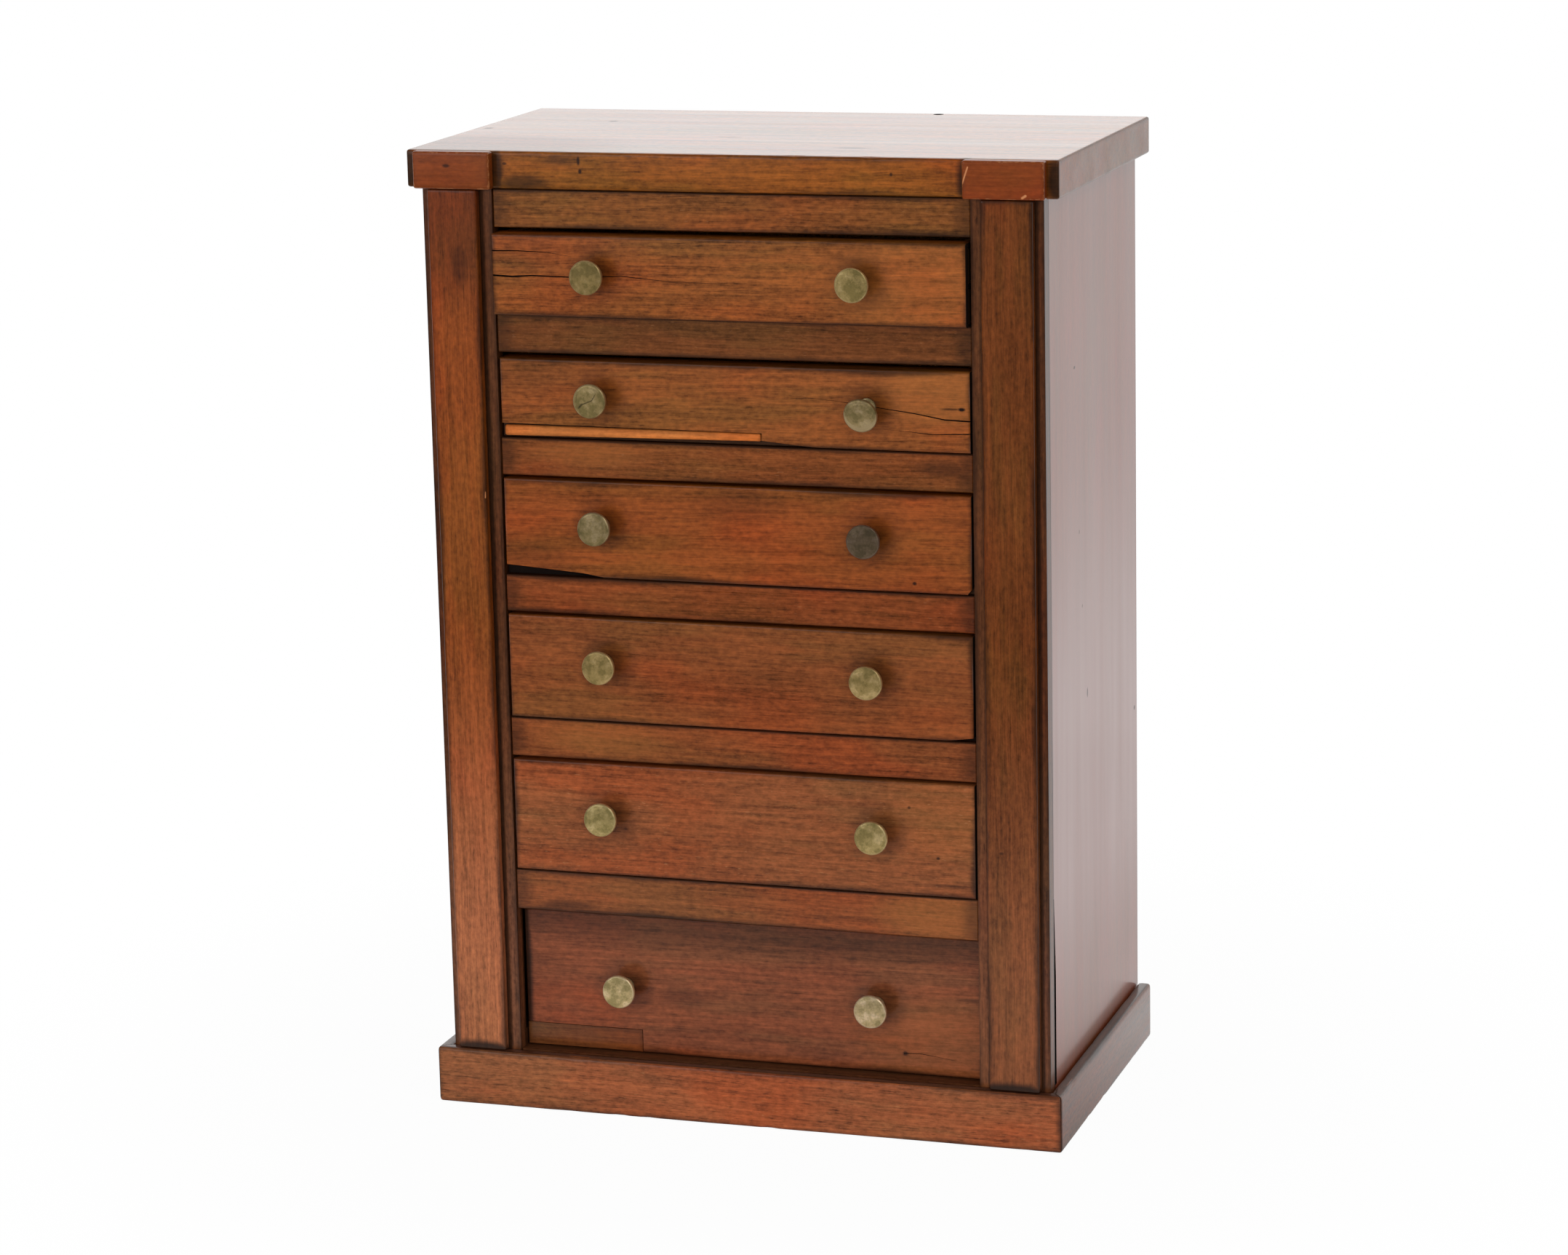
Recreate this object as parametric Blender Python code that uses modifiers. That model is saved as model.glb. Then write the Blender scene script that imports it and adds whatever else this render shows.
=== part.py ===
"""Tabletop chest of six graduated drawers between flat pilasters.

Metres, +Z up. The front faces -Y. The origin is on the floor, at the middle of the width and
midway between the foremost knob and the back.
"""
import math
from collections import namedtuple

import bmesh
import bpy
from mathutils import Matrix, Vector

# Overall height
HEIGHT = 0.4600               # the lowest drawer takes up what the others leave

# Clearances
FIT = 0.0003                  # between fixed pieces that meet
RUN = 0.0004                  # under a drawer, above what it runs on
CUT_MARGIN = 0.0020           # how far a cutter passes the face that it opens

# Case
OPENING_WIDTH = 0.2284        # between the stiles
STILE_WIDTH = 0.0340
STILE_THICK = 0.0075
SIDE_THICK = 0.0090
CASE_DEPTH = 0.1750           # stile face to back
BACK_THICK = 0.0050
BACK_REBATE = 0.0045          # width of the rebate that holds the back in each side
HOUSING_DEPTH = 0.0030        # rails and bottom board let into the sides

# Top and its blocks
TOP_THICK = 0.0175
TOP_SIDE_OVERHANG = 0.0071
TOP_FRONT_OVERHANG = 0.0012
TOP_EDGE_ROUND = 0.0012
BLOCK_PROUD = 0.0070          # block face ahead of the stile face
BLOCK_OVERHANG = 0.0019       # past each edge of the stile
BLOCK_EDGE_ROUND = 0.0010

# Pilasters planted on the stiles
PILASTER_WIDTH = 0.0242
PILASTER_THICK = 0.0050
PILASTER_REVEAL = 0.0040      # stile left showing outside the pilaster
PILASTER_EDGE_ROUND = 0.0008

# Plinth planted round the foot of the case
PLINTH_HEIGHT = 0.0275
PLINTH_THICK = 0.0064
PLINTH_EDGE_ROUND = 0.0018
PLINTH_CORNER_ROUND = 0.0022  # upright corners at the mitres
CORNER_STEPS = 3

# Rails, runners and bottom board
TOP_RAIL_HEIGHT = 0.0180
RAIL_SETBACK = 0.0010         # behind the stile face
RAIL_DEPTH = 0.0300           # stile face to the back of a rail
RAIL_EDGE_ROUND = 0.0004
BOTTOM_THICK = 0.0080
RUNNER_BEARING = 0.0100       # width of runner that carries a drawer side
GUIDE_RISE = 0.0080           # guide beside a drawer, above its runner

# Drawer construction
FRONT_THICK = 0.0120
FRONT_EDGE_ROUND = 0.0010
FRONT_SIDE_GAP = 0.0009       # each end of a drawer front to the stile
LINING_THICK = 0.0060         # drawer sides and back
LINING_DROP = 0.0010          # sides below the top of the front
BACK_DROP = 0.0050            # drawer back below the top of the sides
PANEL_THICK = 0.0035          # drawer bottom
PANEL_RISE = 0.0040           # drawer bottom above the lower edge
GROOVE_DEPTH = 0.0030         # drawer bottom let into sides and front
DRAWER_RECESS = 0.0075        # how far a drawer goes in before it meets the back

# Lapped dovetails, tails on the drawer sides
TAIL_PITCH = 0.0180
TAIL_LENGTH = 0.0080
TAIL_SLOPE = 1 / 6
PIN_WIDTH = 0.0030            # pin at its narrow end

# Turned knobs
KNOB_RADIUS = 0.0079
KNOB_PROJECTION = 0.0125
KNOB_DOME = 0.0014            # rise of the head's face
KNOB_RIM = 0.0016
KNOB_UNDERCUT = 0.0040        # height of the curve from the rim to the neck
KNOB_NECK_RADIUS = 0.0026
KNOB_ROSE_RADIUS = 0.0042
KNOB_ROSE_THICK = 0.0011
KNOB_SHANK_RADIUS = 0.0019
KNOB_SHANK_LENGTH = 0.0085
KNOB_STEPS = 20
HOLE_STEPS = 16

# Openings of the drawers above the lowest, from top to bottom, and the rails under them
OPENING_1 = 0.0403
OPENING_2 = 0.0402
OPENING_3 = 0.0477
OPENING_4 = 0.0513
OPENING_5 = 0.0559
RAIL_1 = 0.0179
RAIL_2 = 0.0177
RAIL_3 = 0.0175
RAIL_4 = 0.0188
RAIL_5 = 0.0197

# Gaps above the drawer fronts
WIDE_TOP_GAP = 0.0026         # second drawer
FIRST_TOP_GAP = 0.0022
TOP_GAP = 0.0014
LOWEST_TOP_GAP = 0.0016

# First drawer at rest
FIRST_PROUD = 0.0050          # ahead of the stile face

# Distance between a drawer's knobs, and how far they sit above the middle of its front
KNOB_SPACING = 0.1300
FIRST_KNOB_SPACING = 0.1264
FIFTH_KNOB_SPACING = 0.1326
LOWEST_KNOB_SPACING = 0.1246
KNOB_RISE_1 = 0.0009
KNOB_RISE_2 = 0.0013
KNOB_RISE_3 = 0.0023
KNOB_RISE_4 = 0.0033
KNOB_RISE_5 = 0.0024
LOWEST_KNOB_RISE = -0.0011

# Places worked out from the sizes above
UNDER_TOP = HEIGHT - TOP_THICK
UPPER_OPENINGS = (OPENING_1, OPENING_2, OPENING_3, OPENING_4, OPENING_5)
RAILS = (RAIL_1, RAIL_2, RAIL_3, RAIL_4, RAIL_5)
UPPER_STACK = TOP_RAIL_HEIGHT + sum(UPPER_OPENINGS) + sum(RAILS)
LOWEST_OPENING = UNDER_TOP - UPPER_STACK - PLINTH_HEIGHT

# Drawers from top to bottom: the opening, the gap above the front, how far the front stands
# ahead of the stiles at rest, the spacing and rise of its knobs, and the rail below.
Drawer = namedtuple("Drawer", "opening top_gap proud knob_spacing knob_rise rail")
DRAWERS = (
    Drawer(OPENING_1, FIRST_TOP_GAP, FIRST_PROUD, FIRST_KNOB_SPACING, KNOB_RISE_1, RAIL_1),
    Drawer(OPENING_2, WIDE_TOP_GAP, 0, KNOB_SPACING, KNOB_RISE_2, RAIL_2),
    Drawer(OPENING_3, TOP_GAP, 0, KNOB_SPACING, KNOB_RISE_3, RAIL_3),
    Drawer(OPENING_4, TOP_GAP, 0, KNOB_SPACING, KNOB_RISE_4, RAIL_4),
    Drawer(OPENING_5, TOP_GAP, 0, FIFTH_KNOB_SPACING, KNOB_RISE_5, RAIL_5),
    Drawer(LOWEST_OPENING, LOWEST_TOP_GAP, -DRAWER_RECESS, LOWEST_KNOB_SPACING, LOWEST_KNOB_RISE, 0),
)

OPENING_HALF = OPENING_WIDTH / 2
CASE_HALF = OPENING_HALF + STILE_WIDTH
SIDE_INNER = CASE_HALF - SIDE_THICK
PROUDEST = max(drawer.proud for drawer in DRAWERS)
FRONT_Y = (PROUDEST + KNOB_PROJECTION + FIT - CASE_DEPTH) / 2
BACK_Y = FRONT_Y + CASE_DEPTH
SIDE_FRONT_Y = FRONT_Y + STILE_THICK + FIT
RAIL_BACK_Y = FRONT_Y + RAIL_DEPTH
INSIDE_BACK_Y = BACK_Y - BACK_THICK - FIT
DRAWER_HALF = OPENING_HALF - FRONT_SIDE_GAP
DRAWER_LENGTH = INSIDE_BACK_Y - FRONT_Y - DRAWER_RECESS
LINING_INNER = DRAWER_HALF - LINING_THICK

MATERIALS = {
    "mahogany": ((0.25, 0.078, 0.024), 0.38, 0.0),
    "red_mahogany": ((0.22, 0.048, 0.012), 0.38, 0.0),
    "lining_wood": ((0.36, 0.21, 0.10), 0.60, 0.0),
    "brass": ((0.30, 0.24, 0.12), 0.35, 1.0),
}


def make_materials():
    """Make one Principled material for each finish."""
    made = {}
    for name, (colour, roughness, metallic) in MATERIALS.items():
        material = bpy.data.materials.new(name)
        material.use_nodes = True
        shader = material.node_tree.nodes["Principled BSDF"]
        shader.inputs["Base Color"].default_value = (*colour, 1.0)
        shader.inputs["Roughness"].default_value = roughness
        shader.inputs["Metallic"].default_value = metallic
        made[name] = material
    return made


def clear_scene():
    """Remove every object, so that the model is alone."""
    for obj in list(bpy.data.objects):
        bpy.data.objects.remove(obj, do_unlink=True)


def new_collection(name):
    """Add a collection to the scene."""
    collection = bpy.data.collections.new(name)
    bpy.context.scene.collection.children.link(collection)
    return collection


def add_empty(name, location):
    """Add the empty that a drawer, or the case, hangs on."""
    empty = bpy.data.objects.new(name, None)
    empty.empty_display_size = 0.02
    empty.location = location
    parts.objects.link(empty)
    return empty


def add_object(name, mesh, parent, material):
    """Link a mesh as one named piece."""
    obj = bpy.data.objects.new(name, mesh)
    obj.parent = parent
    mesh.materials.append(materials[material])
    parts.objects.link(obj)
    return obj


def mesh_of(name, bm):
    """Turn a finished bmesh into a mesh."""
    mesh = bpy.data.meshes.new(name)
    bm.to_mesh(mesh)
    bm.free()
    return mesh


def add_box(bm, x, y, z):
    """Add a box that fills the (low, high) spans x, y and z, and return its corners."""
    spans = (x, y, z)
    centre = Vector([(low + high) / 2 for low, high in spans])
    sizes = [high - low for low, high in spans]
    place = Matrix.Translation(centre) @ Matrix.Diagonal((*sizes, 1))
    return bmesh.ops.create_cube(bm, size=1, matrix=place)["verts"]


def add_flared_box(bm, x, y, middle, half_first, half_last):
    """Add a box whose half height changes from half_first to half_last along y."""
    corners = add_box(bm, x, y, (middle - half_first, middle + half_first))
    for corner in corners:
        if corner.co.y > (y[0] + y[1]) / 2:
            corner.co.z = middle + math.copysign(half_last, corner.co.z - middle)


def board(name, x, y, z, parent, material="mahogany"):
    """Make a plain board from its three spans."""
    bm = bmesh.new()
    add_box(bm, x, y, z)
    return add_object(name, mesh_of(name, bm), parent, material)


def outline_mesh(name, outline, low, high, axis):
    """Extrude a flat outline from low to high along Z (a plan) or along Y (a section)."""
    curve = bpy.data.curves.new(name, "CURVE")
    curve.dimensions = "2D"
    curve.fill_mode = "BOTH"
    curve.extrude = (high - low) / 2
    spline = curve.splines.new("POLY")
    spline.points.add(len(outline) - 1)
    for point, (across, along) in zip(spline.points, outline):
        point.co = (across, along, 0, 1)
    spline.use_cyclic_u = True

    guide = bpy.data.objects.new(name, curve)
    bpy.context.scene.collection.objects.link(guide)
    evaluated = guide.evaluated_get(bpy.context.evaluated_depsgraph_get())
    mesh = bpy.data.meshes.new_from_object(evaluated)
    bpy.data.objects.remove(guide, do_unlink=True)
    bpy.data.curves.remove(curve)

    bm = bmesh.new()
    bm.from_mesh(mesh)
    bmesh.ops.remove_doubles(bm, verts=bm.verts, dist=0.00001)
    turn = Matrix.Rotation(math.pi / 2, 4, "X") if axis == "Y" else Matrix.Identity(4)
    middle = Vector((0, 0, 1)) if axis == "Z" else Vector((0, 1, 0))
    bm.transform(Matrix.Translation(middle * (low + high) / 2) @ turn)
    bmesh.ops.recalc_face_normals(bm, faces=bm.faces)
    bm.to_mesh(mesh)
    bm.free()
    mesh.name = name
    return mesh


def arc(centre, radii, first, last, steps):
    """Give points along an elliptical arc, with angles in degrees."""
    points = []
    for index in range(steps + 1):
        angle = math.radians(first + (last - first) * index / steps)
        across = centre[0] + radii[0] * math.cos(angle)
        along = centre[1] + radii[1] * math.sin(angle)
        points.append((across, along))
    return points


def mirrored(outline, side):
    """Mirror an outline drawn for the right side when side is -1."""
    return [(side * across, along) for across, along in outline]


def soften(obj, radius, segments, chosen=None):
    """Round a piece's edges: all sharp ones, or those whose two ends satisfy chosen."""
    bevel = obj.modifiers.new("rounded edges", "BEVEL")
    bevel.width = radius
    bevel.segments = segments
    if chosen is None:
        bevel.limit_method = "ANGLE"
        return
    bevel.limit_method = "WEIGHT"
    mesh = obj.data
    weights = mesh.attributes.new("bevel_weight_edge", "FLOAT", "EDGE")
    for edge, weight in zip(mesh.edges, weights.data):
        ends = [mesh.vertices[index].co for index in edge.vertices]
        weight.value = float(all(chosen(end) for end in ends))


def near(value, target):
    """Tell whether two coordinates are the same."""
    return abs(value - target) < 0.00001


def cut(obj, label, bm):
    """Cut a piece with the shapes in a bmesh, given in the piece's own coordinates."""
    name = obj.name + "_" + label
    cutter = bpy.data.objects.new(name, mesh_of(name, bm))
    cutter.parent = obj.parent
    cutter.display_type = "WIRE"
    cutter.hide_render = True
    cutters.objects.link(cutter)
    boolean = obj.modifiers.new(label, "BOOLEAN")
    boolean.operation = "DIFFERENCE"
    boolean.solver = "EXACT"
    boolean.object = cutter


def cut_box(obj, label, x, y, z):
    """Cut one box out of a piece."""
    bm = bmesh.new()
    add_box(bm, x, y, z)
    cut(obj, label, bm)


def span(side, inner, outer):
    """Give the (low, high) span in x between two distances from the middle, on one side."""
    return tuple(sorted((side * inner, side * outer)))


def drawer_floors():
    """Give the level that each drawer runs on, from top to bottom."""
    floors = []
    level = UNDER_TOP - TOP_RAIL_HEIGHT
    for drawer in DRAWERS:
        level -= drawer.opening
        floors.append(level)
        level -= drawer.rail
    return floors


def rail_spans():
    """Give the height span of the top rail and of each rail below a drawer."""
    spans = [(UNDER_TOP - TOP_RAIL_HEIGHT, UNDER_TOP - FIT)]
    for drawer, floor in zip(DRAWERS[:-1], drawer_floors()):
        spans.append((floor - drawer.rail, floor))
    return spans


def make_side(case, label, side):
    """Make a side panel, housed for the rails and the bottom board and rebated for the back."""
    panel = board(
        "side_" + label,
        span(side, SIDE_INNER, CASE_HALF),
        (SIDE_FRONT_Y, BACK_Y),
        (0, UNDER_TOP - FIT),
        case,
    )
    housing_x = span(side, SIDE_INNER - CUT_MARGIN, SIDE_INNER + HOUSING_DEPTH + FIT)
    housings = bmesh.new()
    for low, high in rail_spans():
        rail_y = (SIDE_FRONT_Y - CUT_MARGIN, RAIL_BACK_Y + FIT)
        add_box(housings, housing_x, rail_y, (low - FIT, high + FIT * 2))
    bottom_y = (SIDE_FRONT_Y - CUT_MARGIN, INSIDE_BACK_Y + FIT)
    add_box(housings, housing_x, bottom_y, (PLINTH_HEIGHT - BOTTOM_THICK - FIT, PLINTH_HEIGHT + FIT))
    cut(panel, "housings", housings)
    cut_box(
        panel,
        "back_rebate",
        span(side, SIDE_INNER - CUT_MARGIN, SIDE_INNER + BACK_REBATE),
        (BACK_Y - BACK_THICK - FIT, BACK_Y + CUT_MARGIN),
        (-CUT_MARGIN, HEIGHT),
    )


def make_stile(case, label, side):
    """Make a stile, the pilaster planted on it and the block above them."""
    board(
        "stile_" + label,
        span(side, OPENING_HALF, CASE_HALF),
        (FRONT_Y, FRONT_Y + STILE_THICK),
        (0, UNDER_TOP - FIT),
        case,
    )
    pilaster_outer = CASE_HALF - PILASTER_REVEAL
    face = FRONT_Y - FIT - PILASTER_THICK
    pilaster = board(
        "pilaster_" + label,
        span(side, pilaster_outer - PILASTER_WIDTH, pilaster_outer),
        (face, FRONT_Y - FIT),
        (PLINTH_HEIGHT + FIT, UNDER_TOP - FIT),
        case,
    )
    soften(pilaster, PILASTER_EDGE_ROUND, 2, lambda end: near(end.y, face))
    block = board(
        "cap_block_" + label,
        span(side, OPENING_HALF - BLOCK_OVERHANG, CASE_HALF + BLOCK_OVERHANG),
        (FRONT_Y - BLOCK_PROUD, FRONT_Y - TOP_FRONT_OVERHANG - FIT),
        (UNDER_TOP, HEIGHT),
        case,
        "red_mahogany",
    )
    soften(block, BLOCK_EDGE_ROUND, 2, lambda end: near(end.y, FRONT_Y - BLOCK_PROUD))


def make_top(case):
    """Make the thick top board."""
    half = CASE_HALF + TOP_SIDE_OVERHANG
    top = board(
        "top_board",
        (-half, half),
        (FRONT_Y - TOP_FRONT_OVERHANG, BACK_Y),
        (UNDER_TOP, HEIGHT),
        case,
    )
    soften(top, TOP_EDGE_ROUND, 2)


def make_back(case):
    """Make the back panel, which lies in the rebates of the sides."""
    half = SIDE_INNER + BACK_REBATE - FIT
    board(
        "back_panel",
        (-half, half),
        (BACK_Y - BACK_THICK, BACK_Y),
        (PLINTH_HEIGHT - BOTTOM_THICK, UNDER_TOP - FIT),
        case,
        "lining_wood",
    )


def make_plinth(case):
    """Make the three plinth boards, mitred at the front corners."""
    inner_x = CASE_HALF + FIT
    outer_x = inner_x + PLINTH_THICK
    inner_y = FRONT_Y - FIT
    outer_y = inner_y - PLINTH_THICK

    corner = (outer_x - PLINTH_CORNER_ROUND, outer_y + PLINTH_CORNER_ROUND)
    radii = (PLINTH_CORNER_ROUND, PLINTH_CORNER_ROUND)

    def on_outer_top(end):
        inner = near(end.y, inner_y) or near(abs(end.x), inner_x)
        return near(end.z, PLINTH_HEIGHT) and not inner

    front_corner = arc((corner[0] - FIT, corner[1]), radii, 270, 315, CORNER_STEPS)
    right_half = front_corner + [(inner_x - FIT, inner_y)]
    front_plan = right_half + list(reversed(mirrored(right_half, -1)))
    mesh = outline_mesh("plinth_front", front_plan, 0, PLINTH_HEIGHT, "Z")
    front = add_object("plinth_front", mesh, case, "mahogany")
    soften(front, PLINTH_EDGE_ROUND, 3, on_outer_top)

    flank_corner = arc((corner[0], corner[1] + FIT), radii, 315, 360, CORNER_STEPS)
    side_plan = flank_corner + [(outer_x, BACK_Y), (inner_x, BACK_Y), (inner_x, inner_y + FIT)]
    for label, side in (("left", -1), ("right", 1)):
        name = "plinth_" + label
        mesh = outline_mesh(name, mirrored(side_plan, side), 0, PLINTH_HEIGHT, "Z")
        flank = add_object(name, mesh, case, "mahogany")
        soften(flank, PLINTH_EDGE_ROUND, 3, on_outer_top)


def make_rails(case):
    """Make the rails, which fill between the stiles and are let into the sides behind them."""
    face = FRONT_Y + RAIL_SETBACK
    narrow = OPENING_HALF - FIT
    wide = SIDE_INNER + HOUSING_DEPTH
    right_half = [(narrow, face), (narrow, SIDE_FRONT_Y), (wide, SIDE_FRONT_Y), (wide, RAIL_BACK_Y)]
    plan = right_half + list(reversed(mirrored(right_half, -1)))
    for index, (low, high) in enumerate(rail_spans()):
        name = "drawer_rail_%d" % index if index else "top_rail"
        rail = add_object(name, outline_mesh(name, plan, low, high, "Z"), case, "mahogany")
        soften(rail, RAIL_EDGE_ROUND, 1, lambda end: near(end.y, face))


def make_runners(case):
    """Make the rebated runners behind the rails, each with a guide beside the drawer."""
    outer = SIDE_INNER - FIT
    inner = OPENING_HALF - RUNNER_BEARING
    for number, (low, high) in enumerate(rail_spans()[1:], 1):
        section = [
            (inner, low),
            (outer, low),
            (outer, high + GUIDE_RISE),
            (OPENING_HALF, high + GUIDE_RISE),
            (OPENING_HALF, high),
            (inner, high),
        ]
        for label, side in (("left", -1), ("right", 1)):
            name = "runner_%s_%d" % (label, number)
            outline = mirrored(section, side)
            mesh = outline_mesh(name, outline, RAIL_BACK_Y + FIT, INSIDE_BACK_Y, "Y")
            add_object(name, mesh, case, "lining_wood")


def make_bottom(case):
    """Make the bottom board, which carries the lowest drawer between two guides."""
    low = PLINTH_HEIGHT - BOTTOM_THICK
    guide = SIDE_INNER - FIT
    tongue = SIDE_INNER + HOUSING_DEPTH
    right_half = [
        (tongue, low),
        (tongue, PLINTH_HEIGHT),
        (guide, PLINTH_HEIGHT),
        (guide, PLINTH_HEIGHT + GUIDE_RISE),
        (OPENING_HALF, PLINTH_HEIGHT + GUIDE_RISE),
        (OPENING_HALF, PLINTH_HEIGHT),
    ]
    section = right_half + list(reversed(mirrored(right_half, -1)))
    mesh = outline_mesh("bottom_board", section, FRONT_Y + RAIL_SETBACK, INSIDE_BACK_Y, "Y")
    bottom = add_object("bottom_board", mesh, case, "mahogany")
    corners = bmesh.new()
    for side in (-1, 1):
        add_box(
            corners,
            span(side, OPENING_HALF - FIT, CASE_HALF),
            (FRONT_Y - CUT_MARGIN, SIDE_FRONT_Y),
            (low - CUT_MARGIN, PLINTH_HEIGHT + GUIDE_RISE + CUT_MARGIN),
        )
    cut(bottom, "stile_corners", corners)


def tail_count(lining_height):
    """Give the number of tails that a drawer side of this height has."""
    return max(2, round(lining_height / TAIL_PITCH))


def front_height(drawer):
    """Give the height of a drawer front."""
    return drawer.opening - drawer.top_gap - RUN


def knob_height(drawer):
    """Give the height of a drawer's knobs above the floor of its opening."""
    return RUN + front_height(drawer) / 2 + drawer.knob_rise


def make_front(name, slide, drawer):
    """Make a drawer front, with its dovetail sockets, bottom groove and knob holes."""
    low, high = RUN, RUN + front_height(drawer)
    front = board(name, (-DRAWER_HALF, DRAWER_HALF), (0, FRONT_THICK), (low, high), slide)
    soften(front, FRONT_EDGE_ROUND, 2, lambda end: near(end.y, 0))

    lining_height = high - LINING_DROP - low
    count = tail_count(lining_height)
    pitch = lining_height / count
    wide = (pitch - PIN_WIDTH) / 2 + FIT
    taper = (TAIL_LENGTH + FIT + CUT_MARGIN) * TAIL_SLOPE
    socket_y = (FRONT_THICK - TAIL_LENGTH - FIT, FRONT_THICK + CUT_MARGIN)
    sockets = bmesh.new()
    for side in (-1, 1):
        socket_x = span(side, LINING_INNER - FIT, DRAWER_HALF + CUT_MARGIN)
        for index in range(count):
            middle = low + (index + 0.5) * pitch
            add_flared_box(sockets, socket_x, socket_y, middle, wide, wide - taper)
    cut(front, "sockets", sockets)

    groove_half = LINING_INNER + GROOVE_DEPTH
    cut_box(
        front,
        "groove",
        (-groove_half, groove_half),
        (FRONT_THICK - GROOVE_DEPTH - FIT, FRONT_THICK + CUT_MARGIN),
        (low + PANEL_RISE - FIT, low + PANEL_RISE + PANEL_THICK + FIT),
    )

    depth = KNOB_SHANK_LENGTH + FIT + CUT_MARGIN
    holes = bmesh.new()
    for side in (-1, 1):
        centre = Vector((side * drawer.knob_spacing / 2, depth / 2 - CUT_MARGIN, knob_height(drawer)))
        bmesh.ops.create_cone(
            holes,
            cap_ends=True,
            segments=HOLE_STEPS,
            radius1=KNOB_SHANK_RADIUS + FIT,
            radius2=KNOB_SHANK_RADIUS + FIT,
            depth=depth,
            matrix=Matrix.Translation(centre) @ Matrix.Rotation(math.pi / 2, 4, "X"),
        )
    cut(front, "knob_holes", holes)


def make_lining(name, slide, drawer):
    """Make a drawer's sides and back, with the tails, and the groove for the bottom."""
    low = RUN
    high = RUN + front_height(drawer) - LINING_DROP
    panel_top = low + PANEL_RISE + PANEL_THICK
    tails_y = FRONT_THICK - TAIL_LENGTH
    lining = board(
        name,
        (-DRAWER_HALF, DRAWER_HALF),
        (tails_y, DRAWER_LENGTH),
        (low, high),
        slide,
        "lining_wood",
    )
    inside_x = (-LINING_INNER, LINING_INNER)
    back_y = DRAWER_LENGTH - LINING_THICK
    past_back_y = (back_y - CUT_MARGIN, DRAWER_LENGTH + CUT_MARGIN)
    below, above = low - CUT_MARGIN, high + CUT_MARGIN
    cut_box(lining, "inside", inside_x, (tails_y - CUT_MARGIN, back_y), (below, above))
    cut_box(lining, "under_back", inside_x, past_back_y, (below, panel_top + FIT))
    cut_box(lining, "over_back", inside_x, past_back_y, (high - BACK_DROP, above))
    groove_half = LINING_INNER + GROOVE_DEPTH
    cut_box(
        lining,
        "grooves",
        (-groove_half, groove_half),
        (tails_y - CUT_MARGIN, DRAWER_LENGTH + CUT_MARGIN),
        (low + PANEL_RISE - FIT, panel_top + FIT),
    )

    count = tail_count(high - low)
    pitch = (high - low) / count
    narrow = PIN_WIDTH / 2 - CUT_MARGIN * TAIL_SLOPE
    taper = (TAIL_LENGTH + CUT_MARGIN) * TAIL_SLOPE
    pins = bmesh.new()
    for side in (-1, 1):
        pin_x = span(side, LINING_INNER - CUT_MARGIN, DRAWER_HALF + CUT_MARGIN)
        for index in range(count + 1):
            middle = low + index * pitch
            pin_y = (tails_y - CUT_MARGIN, FRONT_THICK + FIT)
            add_flared_box(pins, pin_x, pin_y, middle, narrow, narrow + taper)
    cut(lining, "pins", pins)


def make_panel(name, slide):
    """Make a drawer bottom, which slides under the back into the grooves."""
    half = LINING_INNER + GROOVE_DEPTH - FIT
    low = RUN + PANEL_RISE
    board(
        name,
        (-half, half),
        (FRONT_THICK - GROOVE_DEPTH, DRAWER_LENGTH - FIT),
        (low, low + PANEL_THICK),
        slide,
        "lining_wood",
    )


def knob_profile():
    """Give a knob's outline, from the middle of its face down to the end of its shank."""
    rim_top = KNOB_PROJECTION - KNOB_DOME
    rim_low = rim_top - KNOB_RIM
    neck_top = rim_low - KNOB_UNDERCUT
    flare = KNOB_ROSE_RADIUS - KNOB_NECK_RADIUS
    face = arc((0, rim_top), (KNOB_RADIUS, KNOB_DOME), 90, 0, 5)
    under = arc((KNOB_RADIUS, neck_top), (KNOB_RADIUS - KNOB_NECK_RADIUS, KNOB_UNDERCUT), 90, 180, 4)
    foot = arc((KNOB_ROSE_RADIUS, KNOB_ROSE_THICK + flare), (flare, flare), 180, 270, 2)
    seat = [
        (KNOB_ROSE_RADIUS, 0),
        (KNOB_SHANK_RADIUS, 0),
        (KNOB_SHANK_RADIUS, -KNOB_SHANK_LENGTH),
        (0, -KNOB_SHANK_LENGTH),
    ]
    return [(0, KNOB_PROJECTION)] + face[1:] + under + foot + seat


def knob_mesh():
    """Make the profile line that every knob is turned from."""
    bm = bmesh.new()
    corners = [bm.verts.new((radius, 0, height)) for radius, height in knob_profile()]
    for first, second in zip(corners, corners[1:]):
        bm.edges.new((first, second))
    mesh = mesh_of("knob_profile", bm)
    mesh.materials.append(materials["brass"])
    return mesh


def make_knob(name, slide, mesh, centre):
    """Turn one knob on an axis that points out of the drawer front."""
    knob = bpy.data.objects.new(name, mesh)
    knob.parent = slide
    knob.location = centre
    knob.rotation_euler = (math.pi / 2, 0, 0)
    parts.objects.link(knob)
    turned = knob.modifiers.new("turned", "SCREW")
    turned.axis = "Z"
    turned.steps = KNOB_STEPS
    turned.render_steps = KNOB_STEPS
    turned.use_merge_vertices = True
    turned.merge_threshold = 0.00001
    turned.use_smooth_shade = True


def make_drawer(number, drawer, floor, profile):
    """Make one drawer on an empty that lies on its sliding axis."""
    prefix = "drawer_%d" % number
    slide = add_empty(prefix + "_slide", (0, FRONT_Y - drawer.proud, floor))
    make_front(prefix + "_front", slide, drawer)
    make_lining(prefix + "_box", slide, drawer)
    make_panel(prefix + "_bottom", slide)
    for label, side in (("left", -1), ("right", 1)):
        centre = (side * drawer.knob_spacing / 2, -FIT, knob_height(drawer))
        make_knob("%s_knob_%s" % (prefix, label), slide, profile, centre)


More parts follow.
